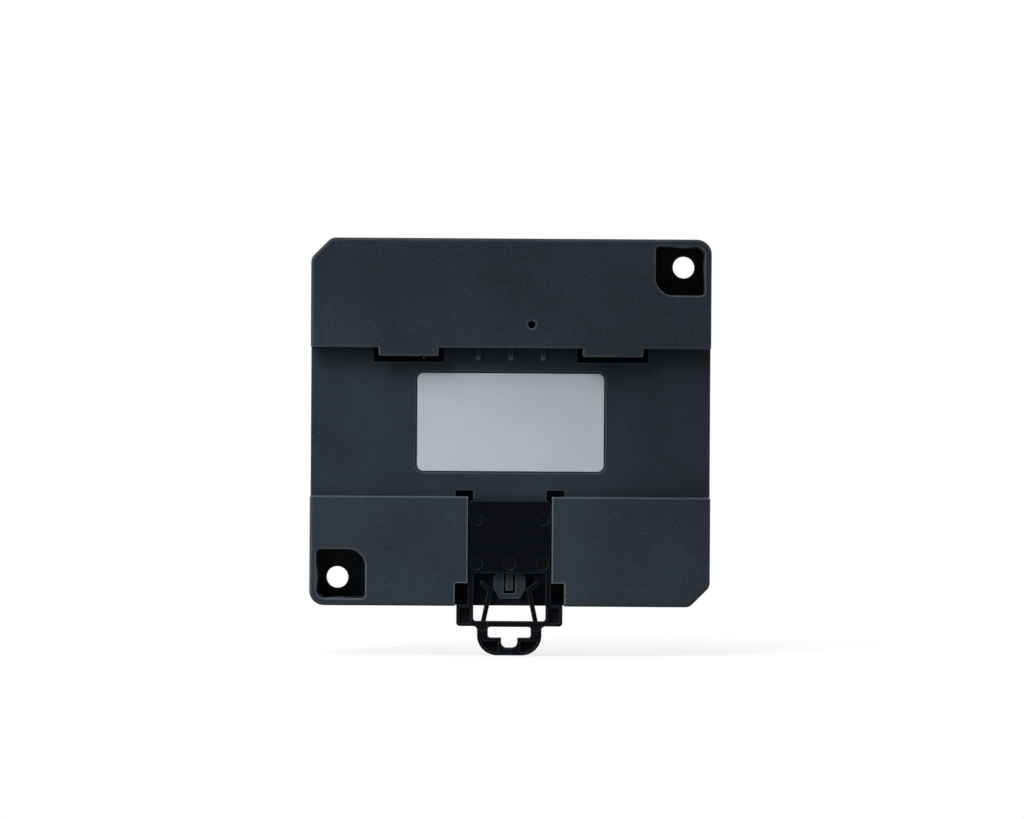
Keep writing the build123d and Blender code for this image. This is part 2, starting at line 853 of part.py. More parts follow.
# Terminal block sizes that the front shell and the board need
terminal_width = terminal_count * terminal_pitch + 2 * terminal_end_wall
terminal_top_z = top_z - terminal_flush_drop
terminal_bottom_z = terminal_top_z - terminal_height
terminal_front_y = board_front_y - terminal_depth
terminal_screw_z = terminal_bottom_z + terminal_screw_rise
terminal_places = row_of(terminal_count, terminal_pitch)
socket_places = row_of(socket_count, socket_pitch)
socket_axis_y = split_y - socket_split_gap - socket_collar_radius
socket_front_z = bottom_z + wall + face_clearance
socket_inner_z = socket_front_z + socket_length
lamp_places = row_of(lamp_count, lamp_pitch)
nose_inner_y = front_y + wall
shoulder_inner_y = shoulder_y + wall

# Front shell
with BuildPart() as front_housing:
    with BuildSketch(depth_plane(split_y)):
        add(case_outline.sketch)
    extrude(amount=shoulder_rise)
    with BuildSketch(depth_plane(shoulder_y)):
        Rectangle(body_width, nose_height)
    extrude(amount=nose_rise)
    fillet(front_housing.faces().sort_by(Axis.Y)[0].edges(), front_edge_radius)
    shoulder_edges = front_housing.edges().filter_by(
        lambda edge: abs(edge.center().Y - shoulder_y) < touch
        and abs(edge.center().Z) > nose_height / 2 + touch
    )
    fillet(shoulder_edges, front_edge_radius)

    # Open corners in front of the wall screws
    with BuildSketch(depth_plane(split_y)):
        for side_x, side_z in ear_signs:
            with Locations((side_x * body_width / 2, side_z * body_height / 2)):
                RectangleRounded(2 * ear_size_x, 2 * ear_size_z, ear_inner_radius)
    extrude(amount=shoulder_rise + nose_rise, mode=Mode.SUBTRACT)

    # Hollow of the shoulders, then that of the nose
    with BuildSketch(depth_plane(split_y)):
        add(cavity_outline.sketch)
        ear_corners(wall)
    extrude(amount=shoulder_rise - wall, mode=Mode.SUBTRACT)
    with BuildSketch(depth_plane(shoulder_inner_y)):
        Rectangle(body_width - 2 * wall, nose_height - 2 * wall)
    extrude(amount=shoulder_inner_y - nose_inner_y, mode=Mode.SUBTRACT)

    # Opening for the terminal block, and holes for the jack sockets
    block(
        (-terminal_width / 2 - terminal_clearance, terminal_width / 2 + terminal_clearance),
        (shoulder_y - overrun, split_y),
        (terminal_bottom_z - terminal_clearance, top_z + overrun),
        Mode.SUBTRACT,
    )
    for x in socket_places:
        upright_bar(
            x,
            socket_axis_y,
            socket_collar_radius + socket_hole_clearance,
            (bottom_z - overrun, bottom_z + 2 * wall),
            Mode.SUBTRACT,
        )

    # Recess for the overlay, and holes for the light guide
    overlay_recess_width = body_width - 2 * overlay_side_margin
    overlay_recess_height = nose_height - 2 * overlay_end_margin
    with BuildSketch(depth_plane(front_y + overlay_thickness)):
        RectangleRounded(overlay_recess_width, overlay_recess_height, overlay_radius)
    extrude(amount=overrun, mode=Mode.SUBTRACT)
    for x in lamp_places:
        guide_hole_radius = guide_radius + guide_hole_clearance
        round_bar(x, lamp_z, guide_hole_radius, (front_y - overrun, nose_inner_y), Mode.SUBTRACT)

    # Ventilation slots in both side walls
    for z in row_of(vent_count, vent_pitch):
        block(
            (-body_width, body_width),
            (front_y + vent_end_margin, split_y - vent_end_margin),
            (z - vent_width / 2, z + vent_width / 2),
            Mode.SUBTRACT,
        )

    # Catches that reach into the rear cover
    for side_x, side_z, along in catch_places:
        catch_tip_y = split_y + catch_length
        catch_back = -catch_clearance
        wall_block(
            side_x,
            side_z,
            along,
            (catch_back - catch_thickness, 0),
            catch_width,
            (split_y - catch_root, split_y),
        )
        wall_block(
            side_x,
            side_z,
            along,
            (catch_back - catch_thickness, catch_back),
            catch_width,
            (split_y, catch_tip_y),
        )
        wall_block(
            side_x,
            side_z,
            along,
            (catch_back, catch_barb),
            catch_width,
            (catch_tip_y - catch_barb_height, catch_tip_y),
        )
front_housing.part.label = "front_housing"
export_step(front_housing.part, "parts/front_housing.step")


# Overlay in the front of the nose
with BuildPart() as front_overlay:
    with BuildSketch(depth_plane(front_y + overlay_thickness)):
        RectangleRounded(
            overlay_recess_width - 2 * overlay_clearance,
            overlay_recess_height - 2 * overlay_clearance,
            overlay_radius,
        )
        with Locations(*((x, lamp_z) for x in lamp_places)):
            Circle(guide_radius + guide_hole_clearance, mode=Mode.SUBTRACT)
    extrude(amount=overlay_thickness)
front_overlay.part.label = "front_overlay"
export_step(front_overlay.part, "parts/front_overlay.step")


# Places of the parts on the board, worked out from its neighbours
capacitor_x = ear_edge_x - ear_wall - capacitor_ear_gap - capacitor_radius
capacitor_z = socket_inner_z + capacitor_socket_gap + capacitor_radius
capacitor_tall = board_front_y - shoulder_inner_y - capacitor_head_room
small_capacitor_x = capacitor_x - small_capacitor_spacing
small_capacitor_z = capacitor_z - capacitor_radius + small_capacitor_radius
varistor_x = body_width / 2 - wall - varistor_side_gap - varistor_thickness / 2
fuse_x = varistor_x - fuse_spacing
fuse_z = terminal_bottom_z - fuse_terminal_gap - fuse_radius
varistor_z = fuse_z
power_left = lamp_span / 2 + guide_radius + power_lamp_gap
power_right = body_width / 2 - wall - power_side_gap
power_bottom = capacitor_z + capacitor_radius + power_capacitor_gap
power_top = fuse_z - fuse_radius - power_fuse_gap
radio_x = radio_side_gap + wall + radio_width / 2 - body_width / 2
antenna_z = post_ear_z - board_screw_head_radius - antenna_screw_gap

# Places of the leads that pass through the board
power_pins = [(x, z)
              for x in (power_left + power_pin_inset, power_right - power_pin_inset)
              for z in (power_bottom + power_pin_inset, power_top - power_pin_inset)]
fuse_pins = [(fuse_x - fuse_pin_x, fuse_z), (fuse_x + fuse_pin_x, fuse_z)]
varistor_pins = [(varistor_x, varistor_z - varistor_pin_z), (varistor_x, varistor_z + varistor_pin_z)]
capacitor_sizes = [
    (capacitor_x, capacitor_z, capacitor_radius, capacitor_tall),
    (small_capacitor_x, small_capacitor_z, small_capacitor_radius, small_capacitor_tall),
]
capacitor_pins = [(x + side * capacitor_pin_x, z)
                  for x, z, radius, tall in capacitor_sizes for side in (-1, 1)]
tongue_pin_z = terminal_bottom_z + terminal_chamber_bottom + tongue_thickness / 2 + terminal_slot_margin
tongue_pins = [(x, tongue_pin_z) for x in terminal_places]
socket_pins = [(x + across * socket_pin_x, socket_front_z + along)
               for x in socket_places
               for across, along in ((0, socket_pin_far), (-1, socket_pin_near), (1, socket_pin_near))]

# Circuit board
with BuildPart() as main_board:
    with BuildSketch(depth_plane(board_rear_y)):
        add(board_outline.sketch)
        with Locations(*post_places):
            Circle(board_hole_radius, mode=Mode.SUBTRACT)
        with Locations(*power_pins, *fuse_pins, *varistor_pins, *capacitor_pins, *socket_pins):
            Circle(lead_hole_radius, mode=Mode.SUBTRACT)
        with Locations(*tongue_pins):
            Circle(tongue_hole_radius, mode=Mode.SUBTRACT)
    extrude(amount=board_thickness)
main_board.part.label = "main_board"
export_step(main_board.part, "parts/main_board.step")


# Self-tapping screws of the board
with BuildPart() as board_screws:
    for x, z in post_places:
        head_y = board_front_y - board_screw_head_height
        round_bar(x, z, board_screw_head_radius, (head_y, board_front_y))
        round_bar(x, z, board_screw_radius, (board_front_y, board_front_y + board_screw_length))
        half_drive = board_screw_drive_width / 2
        drive_y = (head_y, head_y + board_screw_drive_depth)
        long_half = board_screw_radius
        block((x - long_half, x + long_half), drive_y, (z - half_drive, z + half_drive), Mode.SUBTRACT)
        block((x - half_drive, x + half_drive), drive_y, (z - long_half, z + long_half), Mode.SUBTRACT)
board_screws.part.label = "board_screws"
export_step(board_screws.part, "parts/board_screws.step")


# Terminal block housing
chamber_rear_y = board_front_y - terminal_base
cage_open_rear_y = chamber_rear_y - cage_floor_gap
cage_open_front_y = cage_open_rear_y - cage_depth
chamber_front_y = cage_open_front_y - cage_travel - face_clearance
chamber_bottom_z = terminal_bottom_z + terminal_chamber_bottom
chamber_top_z = chamber_bottom_z + terminal_chamber_height
cage_wire_y = cage_open_rear_y - cage_wall
tongue_rear_y = cage_wire_y - terminal_mouth_height
tongue_front_y = tongue_rear_y - tongue_thickness
with BuildPart() as voltage_terminal:
    block(
        (-terminal_width / 2, terminal_width / 2),
        (terminal_front_y, split_y - face_clearance),
        (terminal_bottom_z, terminal_top_z),
    )
    block(
        (-terminal_width / 2, terminal_width / 2),
        (split_y - face_clearance, board_front_y),
        (terminal_bottom_z, terminal_top_z - terminal_rear_step),
    )
    for x in terminal_places:
        half_chamber = terminal_chamber_width / 2
        block(
            (x - half_chamber, x + half_chamber),
            (chamber_front_y, chamber_rear_y),
            (chamber_bottom_z, chamber_top_z),
            Mode.SUBTRACT,
        )
        round_bar(
            x,
            terminal_screw_z,
            terminal_rim_radius,
            (terminal_front_y, terminal_front_y + terminal_rim),
            Mode.SUBTRACT,
        )
        round_bar(
            x,
            terminal_screw_z,
            terminal_head_bore_radius,
            (terminal_front_y + terminal_rim, chamber_front_y),
            Mode.SUBTRACT,
        )
        half_mouth = terminal_mouth_width / 2
        block(
            (x - half_mouth, x + half_mouth),
            (tongue_rear_y, cage_wire_y),
            (chamber_top_z, terminal_top_z),
            Mode.SUBTRACT,
        )
        half_leg = tongue_leg_width / 2 + terminal_slot_margin
        block(
            (x - half_leg, x + half_leg),
            (chamber_rear_y, board_front_y),
            (chamber_bottom_z, chamber_bottom_z + tongue_thickness + 2 * terminal_slot_margin),
            Mode.SUBTRACT,
        )
    mouth_edges = voltage_terminal.edges().filter_by(
        lambda edge: abs(edge.center().Z - terminal_top_z) < touch
        and abs(edge.center().X) < terminal_width / 2 - terminal_end_wall
        and tongue_rear_y - touch < edge.center().Y < cage_wire_y + touch
    )
    chamfer(mouth_edges, terminal_mouth_chamfer)
voltage_terminal.part.label = "voltage_terminal"
export_step(voltage_terminal.part, "parts/voltage_terminal.step")


# Contact tongues: the fixed bar inside each cage, its leg and its solder pin
with BuildPart() as terminal_contacts:
    for x, pin_z in tongue_pins:
        leg_low_z = pin_z - tongue_thickness / 2
        leg_high_z = pin_z + tongue_thickness / 2
        block(
            (x - tongue_half_width, x + tongue_half_width),
            (tongue_front_y, tongue_rear_y),
            (leg_low_z, chamber_top_z - tongue_overlap),
        )
        block(
            (x - tongue_leg_width / 2, x + tongue_leg_width / 2),
            (tongue_front_y, board_front_y),
            (leg_low_z, leg_high_z),
        )
        block(
            (x - tongue_pin_width / 2, x + tongue_pin_width / 2),
            (board_front_y, board_rear_y + tongue_tail),
            (leg_low_z, leg_high_z),
        )
terminal_contacts.part.label = "terminal_contacts"
export_step(terminal_contacts.part, "parts/terminal_contacts.step")


# Clamp screws, one for each pole
clamp_head_front_y = terminal_front_y + terminal_rim + face_clearance
clamp_head_rear_y = clamp_head_front_y + clamp_head_height
for number, x in enumerate(terminal_places, start=1):
    with BuildPart() as terminal_screw:
        round_bar(x, terminal_screw_z, clamp_head_radius, (clamp_head_front_y, clamp_head_rear_y))
        round_bar(
            x,
            terminal_screw_z,
            clamp_screw_radius,
            (clamp_head_rear_y, tongue_front_y - clamp_tip_gap),
        )
        half_drive = clamp_drive_width / 2
        block(
            (x - clamp_head_radius, x + clamp_head_radius),
            (clamp_head_front_y, clamp_head_front_y + clamp_drive_depth),
            (terminal_screw_z - half_drive, terminal_screw_z + half_drive),
            Mode.SUBTRACT,
        )
        block(
            (x - half_drive, x + half_drive),
            (clamp_head_front_y, clamp_head_front_y + clamp_drive_depth),
            (terminal_screw_z - clamp_screw_radius, terminal_screw_z + clamp_screw_radius),
            Mode.SUBTRACT,
        )
    terminal_screw.part.label = f"terminal_screw_{number}"
    export_step(terminal_screw.part, f"parts/terminal_screw_{number}.step")


# Rising clamp cages, drawn fully open
for number, x in enumerate(terminal_places, start=1):
    cage_z = (terminal_screw_z - cage_height / 2, terminal_screw_z + cage_height / 2)
    with BuildPart() as terminal_clamp:
        block((x - cage_width / 2, x + cage_width / 2), (cage_open_front_y, cage_open_rear_y), cage_z)
        block(
            (x - cage_width / 2 + cage_wall, x + cage_width / 2 - cage_wall),
            (cage_open_front_y + cage_wall, cage_wire_y),
            cage_z,
            Mode.SUBTRACT,
        )
        round_bar(
            x,
            terminal_screw_z,
            clamp_screw_radius + clamp_thread_clearance,
            (cage_open_front_y, cage_open_front_y + cage_wall),
            Mode.SUBTRACT,
        )
    terminal_clamp.part.label = f"terminal_clamp_{number}"
    export_step(terminal_clamp.part, f"parts/terminal_clamp_{number}.step")


# Jack sockets of the current transformers
for number, x in enumerate(socket_places, start=1):
    with BuildPart() as ct_socket:
        block(
            (x - socket_width / 2, x + socket_width / 2),
            (socket_axis_y - socket_cover, board_front_y),
            (socket_front_z, socket_inner_z),
        )
        upright_bar(x, socket_axis_y, socket_collar_radius, (bottom_z + socket_flush_drop, socket_front_z))
        upright_bar(
            x,
            socket_axis_y,
            socket_bore_radius,
            (bottom_z - overrun, bottom_z + socket_flush_drop + socket_bore_length),
            Mode.SUBTRACT,
        )
    ct_socket.part.label = f"ct_socket_{number}"
    export_step(ct_socket.part, f"parts/ct_socket_{number}.step")

with BuildPart() as ct_socket_pins:
    pins(socket_pins)
ct_socket_pins.part.label = "ct_socket_pins"
export_step(ct_socket_pins.part, "parts/ct_socket_pins.step")


# Mains power supply, potted in its case
with BuildPart() as power_module:
    with BuildSketch(depth_plane(board_front_y)):
        with Locations(((power_left + power_right) / 2, (power_bottom + power_top) / 2)):
            RectangleRounded(power_right - power_left, power_top - power_bottom, power_edge_radius)
    extrude(amount=power_tall)
    fillet(power_module.faces().sort_by(Axis.Y)[0].edges(), power_edge_radius / 2)
    pins(power_pins)
power_module.part.label = "power_module"
export_step(power_module.part, "parts/power_module.step")


# Fuse and varistor in the mains input
with BuildPart() as fuse:
    fuse_foot_y = board_front_y - fuse_stand
    round_bar(fuse_x, fuse_z, fuse_radius, (fuse_foot_y - fuse_tall, fuse_foot_y))
    for x, z in fuse_pins:
        round_bar(x, z, lead_radius, (fuse_foot_y, board_rear_y + lead_tail))
fuse.part.label = "fuse"
export_step(fuse.part, "parts/fuse.step")

with BuildPart() as varistor:
    varistor_middle_y = board_front_y - varistor_stand - varistor_radius
    with Locations((varistor_x, varistor_middle_y, varistor_z)):
        Cylinder(varistor_radius, varistor_thickness, rotation=(0, 90, 0))
    fillet(varistor.edges().filter_by(GeomType.CIRCLE), varistor_thickness / 4)
    for x, z in varistor_pins:
        round_bar(x, z, lead_radius, (varistor_middle_y, board_rear_y + lead_tail))
varistor.part.label = "varistor"
export_step(varistor.part, "parts/varistor.step")


# Smoothing capacitors, with the rolled groove and the cross-shaped vent of such cans
with BuildPart() as bulk_capacitors:
    for x, z, radius, tall in capacitor_sizes:
        can_front_y = board_front_y - tall
        round_bar(x, z, radius, (can_front_y, board_front_y))
        groove_y = (
            board_front_y - capacitor_groove_rise - capacitor_groove_height,
            board_front_y - capacitor_groove_rise,
        )
        round_bar(x, z, radius, groove_y, Mode.SUBTRACT)
        round_bar(x, z, radius - capacitor_groove_depth, groove_y)
        half_vent = capacitor_vent_width / 2
        arm = radius / 2
        vent_y = (can_front_y, can_front_y + capacitor_vent_depth)
        block((x - arm, x + arm), vent_y, (z - half_vent, z + half_vent), Mode.SUBTRACT)
        block((x - half_vent, x + half_vent), vent_y, (z - arm, z + arm), Mode.SUBTRACT)
    pins(capacitor_pins)
bulk_capacitors.part.label = "bulk_capacitors"
export_step(bulk_capacitors.part, "parts/bulk_capacitors.step")


# Metering chip with its leads
with BuildPart() as metering_chip:
    half_chip = metering_size / 2
    block(
        (metering_x - half_chip, metering_x + half_chip),
        (board_front_y - metering_tall, board_front_y),
        (metering_z - half_chip, metering_z + half_chip),
    )
    half_lead = metering_lead_width / 2
    lead_y = (board_front_y - metering_lead_tall, board_front_y)
    for step in row_of(metering_lead_count, metering_lead_pitch):
        reach = half_chip + metering_lead_reach
        block(
            (metering_x - reach, metering_x + reach),
            lead_y,
            (metering_z + step - half_lead, metering_z + step + half_lead),
        )
        block(
            (metering_x + step - half_lead, metering_x + step + half_lead),
            lead_y,
            (metering_z - reach, metering_z + reach),
        )
metering_chip.part.label = "metering_chip"
export_step(metering_chip.part, "parts/metering_chip.step")


# Resistor chains that divide the mains voltage
with BuildPart() as divider_resistors:
    with Locations((0, board_front_y - divider_tall / 2, divider_z)):
        with Locations(*((x, 0, z) for x in row_of(divider_columns, divider_pitch_x)
                         for z in row_of(divider_rows, divider_pitch_z))):
            Box(divider_length, divider_tall, divider_width)
divider_resistors.part.label = "divider_resistors"
export_step(divider_resistors.part, "parts/divider_resistors.step")


# Wireless module: its board, its shield can and the antenna
radio_front_y = board_front_y - radio_thickness
with BuildPart() as radio_board:
    block(
        (radio_x - radio_width / 2, radio_x + radio_width / 2),
        (radio_front_y, board_front_y),
        (radio_z - radio_height / 2, radio_z + radio_height / 2),
    )
radio_board.part.label = "radio_board"
export_step(radio_board.part, "parts/radio_board.step")

with BuildPart() as radio_shield:
    with BuildSketch(depth_plane(radio_front_y)):
        with Locations((radio_x, radio_z - shield_drop)):
            RectangleRounded(shield_width, shield_height, shield_edge_radius)
    extrude(amount=shield_tall)
radio_shield.part.label = "radio_shield"
export_step(radio_shield.part, "parts/radio_shield.step")

with BuildPart() as antenna:
    antenna_y = board_front_y - antenna_tall
    antenna_z_limits = (antenna_z - antenna_thickness / 2, antenna_z + antenna_thickness / 2)
    antenna_left = radio_x - antenna_width / 2
    antenna_right = radio_x + antenna_width / 2
    block((antenna_left, antenna_right), (antenna_y, antenna_y + antenna_strip), antenna_z_limits)
    for leg_x in (antenna_left, antenna_left + antenna_leg_gap):
        block((leg_x, leg_x + antenna_strip), (antenna_y, board_front_y), antenna_z_limits)
antenna.part.label = "antenna"
export_step(antenna.part, "parts/antenna.step")


# Lamps on the board and the light guide in front of them
with BuildPart() as status_leds:
    for x in lamp_places:
        block(
            (x - lamp_width / 2, x + lamp_width / 2),
            (board_front_y - lamp_tall, board_front_y),
            (lamp_z - lamp_height / 2, lamp_z + lamp_height / 2),
        )
status_leds.part.label = "status_leds"
export_step(status_leds.part, "parts/status_leds.step")

with BuildPart() as light_pipe:
    for x in lamp_places:
        round_bar(x, lamp_z, guide_radius, (front_y, board_front_y - lamp_tall - guide_gap))
    block(
        (-lamp_span / 2 - guide_radius, lamp_span / 2 + guide_radius),
        (nose_inner_y, nose_inner_y + guide_bar_thickness),
        (lamp_z - guide_bar_height / 2, lamp_z + guide_bar_height / 2),
    )
light_pipe.part.label = "light_pipe"
export_step(light_pipe.part, "parts/light_pipe.step")


# Reset switch on the rear of the board, and its plunger
switch_rear_y = board_rear_y + switch_tall
with BuildPart() as reset_switch:
    half_switch = switch_size / 2
    block(
        (pinhole_x - half_switch, pinhole_x + half_switch),
        (board_rear_y, switch_rear_y),
        (pinhole_z - half_switch, pinhole_z + half_switch),
    )
    round_bar(
        pinhole_x,
        pinhole_z,
        switch_bore_radius,
        (switch_rear_y - switch_bore_depth, switch_rear_y),
        Mode.SUBTRACT,
    )
reset_switch.part.label = "reset_switch"
export_step(reset_switch.part, "parts/reset_switch.step")

with BuildPart() as reset_plunger:
    round_bar(
        pinhole_x,
        pinhole_z,
        plunger_radius,
        (switch_rear_y - switch_bore_depth + 2 * plunger_travel, switch_rear_y + plunger_rise),
    )
reset_plunger.part.label = "reset_plunger"
export_step(reset_plunger.part, "parts/reset_plunger.step")
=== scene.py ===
# %% [markdown]
# # A rail-mounted energy monitor, seen from the back
# The real object is a small moulded case that hangs on a 35 mm rail.  Its circuit board, terminals
# and rail clip come from a CAD model that is already right in shape and size.  This lesson loads
# that model as a fixed frame, gives every piece a finish that is built from nodes, adds the small
# repeated details that CAD leaves out, and lights it all as a plain studio photograph.

# %% Load the CAD frame
import json
import math

import bpy
from mathutils import Matrix, Vector


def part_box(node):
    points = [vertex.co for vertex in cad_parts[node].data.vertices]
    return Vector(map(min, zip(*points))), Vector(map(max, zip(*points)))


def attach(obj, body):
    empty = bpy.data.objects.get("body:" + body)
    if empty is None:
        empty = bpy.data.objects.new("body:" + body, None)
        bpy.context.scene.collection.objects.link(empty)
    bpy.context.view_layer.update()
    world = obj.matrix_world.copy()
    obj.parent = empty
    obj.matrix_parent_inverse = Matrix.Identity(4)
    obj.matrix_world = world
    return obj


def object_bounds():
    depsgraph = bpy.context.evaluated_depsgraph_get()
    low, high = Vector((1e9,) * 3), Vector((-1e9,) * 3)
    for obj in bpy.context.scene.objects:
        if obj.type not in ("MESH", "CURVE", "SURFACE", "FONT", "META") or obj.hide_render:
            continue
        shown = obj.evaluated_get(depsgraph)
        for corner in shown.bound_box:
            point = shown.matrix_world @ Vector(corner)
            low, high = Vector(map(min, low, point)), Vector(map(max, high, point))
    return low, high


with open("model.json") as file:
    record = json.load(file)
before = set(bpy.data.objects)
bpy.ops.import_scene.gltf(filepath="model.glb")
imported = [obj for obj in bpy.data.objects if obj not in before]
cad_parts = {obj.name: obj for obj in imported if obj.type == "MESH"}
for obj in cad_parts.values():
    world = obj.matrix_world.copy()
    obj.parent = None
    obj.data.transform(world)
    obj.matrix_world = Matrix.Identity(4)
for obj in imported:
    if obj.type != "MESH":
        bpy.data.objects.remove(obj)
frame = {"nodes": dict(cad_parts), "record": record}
cad_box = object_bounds()
millimetre = 0.001

# %% [markdown]
# ## Colours and the first lines of a finish
# A colour is easiest to choose as it looks on a screen, from 0 to 255, but a shader wants linear
# light.  One helper turns the first into the second.  Another starts a material: it keeps the
# Principled shader and hands back the Object coordinates, which are metres in the model's own
# frame, so a grain of 0.4 mm is 0.4 mm on every piece.

# %% Helpers for colours and new finishes
def screen(red, green, blue):
    """Linear colour of a screen colour from 0 to 255."""
    shares = [value / 255 for value in (red, green, blue)]
    linear = [s / 12.92 if s <= 0.04045 else ((s + 0.055) / 1.055) ** 2.4 for s in shares]
    return (*linear, 1.0)


def scaled(colour, factor):
    """The same colour, made lighter or darker by a factor."""
    return (*(channel * factor for channel in colour[:3]), 1.0)


def object_place(tree):
    """Object coordinates: metres in the model's own frame."""
    return tree.nodes.new("ShaderNodeTexCoord").outputs["Object"]


def new_finish(name, colour, roughness, metallic=0.0, specular=0.5):
    """Start a material with plain values on its shader, and return it with its parts."""
    finish = bpy.data.materials.new(name)
    finish.use_nodes = True
    tree = finish.node_tree
    shader = tree.nodes["Principled BSDF"]
    shader.inputs["Base Color"].default_value = colour
    shader.inputs["Roughness"].default_value = roughness
    shader.inputs["Metallic"].default_value = metallic
    shader.inputs["Specular IOR Level"].default_value = specular
    return finish, tree, shader, object_place(tree)


print("screen grey 128 is", round(screen(128, 128, 128)[0], 3), "in linear light")

# %% [markdown]
# ## Small node recipes
# Every finish here is made from the same few moves: a noise at a real size, a range that turns it
# into a useful number, a blend of two colours, and a bump whose height is given in metres.  Each
# move is one short function, so a finish reads like a recipe.

# %% Helpers that read a place
def split_place(tree, place):
    """The three coordinates of a place or a direction as separate values."""
    node = tree.nodes.new("ShaderNodeSeparateXYZ")
    tree.links.new(place, node.inputs["Vector"])
    return node.outputs["X"], node.outputs["Y"], node.outputs["Z"]


def facing(tree):
    """The direction that the surface faces, as three values in the model's own frame."""
    return split_place(tree, tree.nodes.new("ShaderNodeTexCoord").outputs["Normal"])


def stretched(tree, place, stretch):
    """Coordinates scaled along each axis, which draws a grain out in one direction."""
    mapping = tree.nodes.new("ShaderNodeMapping")
    mapping.inputs["Scale"].default_value = stretch
    tree.links.new(place, mapping.inputs["Vector"])
    return mapping.outputs["Vector"]


def noise(tree, place, grain, detail=3.0, roughness=0.55):
    """Noise whose blotches are about one grain wide, in metres."""
    texture = tree.nodes.new("ShaderNodeTexNoise")
    texture.inputs["Scale"].default_value = 1 / grain
    texture.inputs["Detail"].default_value = detail
    texture.inputs["Roughness"].default_value = roughness
    tree.links.new(place, texture.inputs["Vector"])
    return texture.outputs["Fac"]


def cells(tree, place, grain):
    """Distance to the nearest of scattered points that lie about one grain apart."""
    texture = tree.nodes.new("ShaderNodeTexVoronoi")
    texture.inputs["Scale"].default_value = 1 / grain
    tree.links.new(place, texture.inputs["Vector"])
    return texture.outputs["Distance"]


# %% Helpers for ranges, blends and bumps
noise_span = (0.3, 0.7)     # nearly all of a noise lies between these two


def feed(tree, socket, value):
    """Give a socket a plain value, or link it when the value comes from another node."""
    if isinstance(value, bpy.types.NodeSocket):
        tree.links.new(value, socket)
    else:
        socket.default_value = value


def ranged(tree, value, from_low, from_high, to_low=0.0, to_high=1.0):
    """Map one range of numbers to another, and hold it at the ends."""
    node = tree.nodes.new("ShaderNodeMapRange")
    node.inputs["From Min"].default_value = from_low
    node.inputs["From Max"].default_value = from_high
    node.inputs["To Min"].default_value = to_low
    node.inputs["To Max"].default_value = to_high
    tree.links.new(value, node.inputs["Value"])
    return node.outputs["Result"]


def combined(tree, operation, first, second=0.0):
    """One sum, product or comparison of two values, either of which may be a plain number."""
    node = tree.nodes.new("ShaderNodeMath")
    node.operation = operation
    feed(tree, node.inputs[0], first)
    feed(tree, node.inputs[1], second)
    return node.outputs["Value"]


def apart(tree, value, level):
    """How far a value is from a level, on either side."""
    return combined(tree, "ABSOLUTE", combined(tree, "SUBTRACT", value, level))


def blended(tree, factor, first, second):
    """Blend of two colours, either of which may come from another node."""
    node = tree.nodes.new("ShaderNodeMix")
    node.data_type = "RGBA"
    tree.links.new(factor, node.inputs["Factor"])
    feed(tree, node.inputs[6], first)
    feed(tree, node.inputs[7], second)
    return node.outputs[2]


def bumped(tree, shader, height, depth, strength=1.0, below=None):
    """Raise the surface by a height map, depth in metres, on top of an earlier bump."""
    node = tree.nodes.new("ShaderNodeBump")
    node.inputs["Strength"].default_value = strength
    node.inputs["Distance"].default_value = depth
    tree.links.new(height, node.inputs["Height"])
    if below is not None:
        tree.links.new(below, node.inputs["Normal"])
    tree.links.new(node.outputs["Normal"], shader.inputs["Normal"])
    return node.outputs["Normal"]


# %% [markdown]
# ## Moulded plastic
# The case is moulded against a spark-eroded steel tool, which leaves a fine, even mottle and hardly
# any shine.  A picture of such plastic would fit only one size of piece, so a noise of a quarter of
# a millimetre makes the mottle, in height and in tone, and a wide noise stands for the way that
# such plastic never has quite one tone.  The same recipe with other values serves every moulded
# piece, so a table lists them all and one loop makes them.

# %% Recipe for moulded plastic
slow_blotch = 22 * millimetre
mottle_share = 0.7
gloss_swing = 0.06


def moulded(name, colour, roughness, specular, grain, depth, tone_share):
    """Plastic with a sparked mottle and a slow change of tone; grain and depth in millimetres."""
    finish, tree, shader, place = new_finish(name, colour, roughness, specular=specular)
    mottle = noise(tree, place, grain * millimetre, detail=1.0, roughness=0.5)
    slow = noise(tree, place, slow_blotch, detail=2.0)
    tone = combined(tree, "ADD", combined(tree, "MULTIPLY", mottle, mottle_share),
                    combined(tree, "MULTIPLY", slow, 1 - mottle_share))
    toned = blended(tree, ranged(tree, tone, 0.33, 0.67),
                    scaled(colour, 1 - tone_share), scaled(colour, 1 + tone_share))
    gloss = ranged(tree, mottle, *noise_span, roughness - gloss_swing, roughness + gloss_swing)
    tree.links.new(toned, shader.inputs["Base Color"])
    tree.links.new(gloss, shader.inputs["Roughness"])
    bumped(tree, shader, mottle, depth * millimetre)
    return finish


plastics = {
    # slot: screen colour, roughness, specular level, grain, depth, share of tone
    "case_plastic": ((39, 46, 53), 0.48, 0.18, 0.24, 0.06, 0.62),
    "clip_plastic": ((6, 8, 11), 0.34, 0.10, 0.5, 0.010, 0.10),
    "terminal_plastic": ((44, 47, 51), 0.52, 0.35, 0.3, 0.010, 0.06),
    "socket_plastic": ((20, 20, 22), 0.36, 0.45, 0.6, 0.006, 0.06),
    "potted_module": ((24, 24, 27), 0.58, 0.35, 0.35, 0.020, 0.12),
    "fuse_plastic": ((62, 42, 30), 0.42, 0.45, 0.5, 0.006, 0.08),
    "chip_resin": ((30, 30, 31), 0.66, 0.35, 0.12, 0.010, 0.15),
    "switch_case": ((28, 28, 29), 0.45, 0.4, 0.4, 0.006, 0.06),
    "switch_plunger": ((150, 40, 30), 0.45, 0.4, 0.4, 0.005, 0.05),
}
finishes = {}
for slot, (tone, *values) in plastics.items():
    finishes[slot] = moulded(slot.replace("_", " "), screen(*tone), *values)
print("plastics", len(finishes))

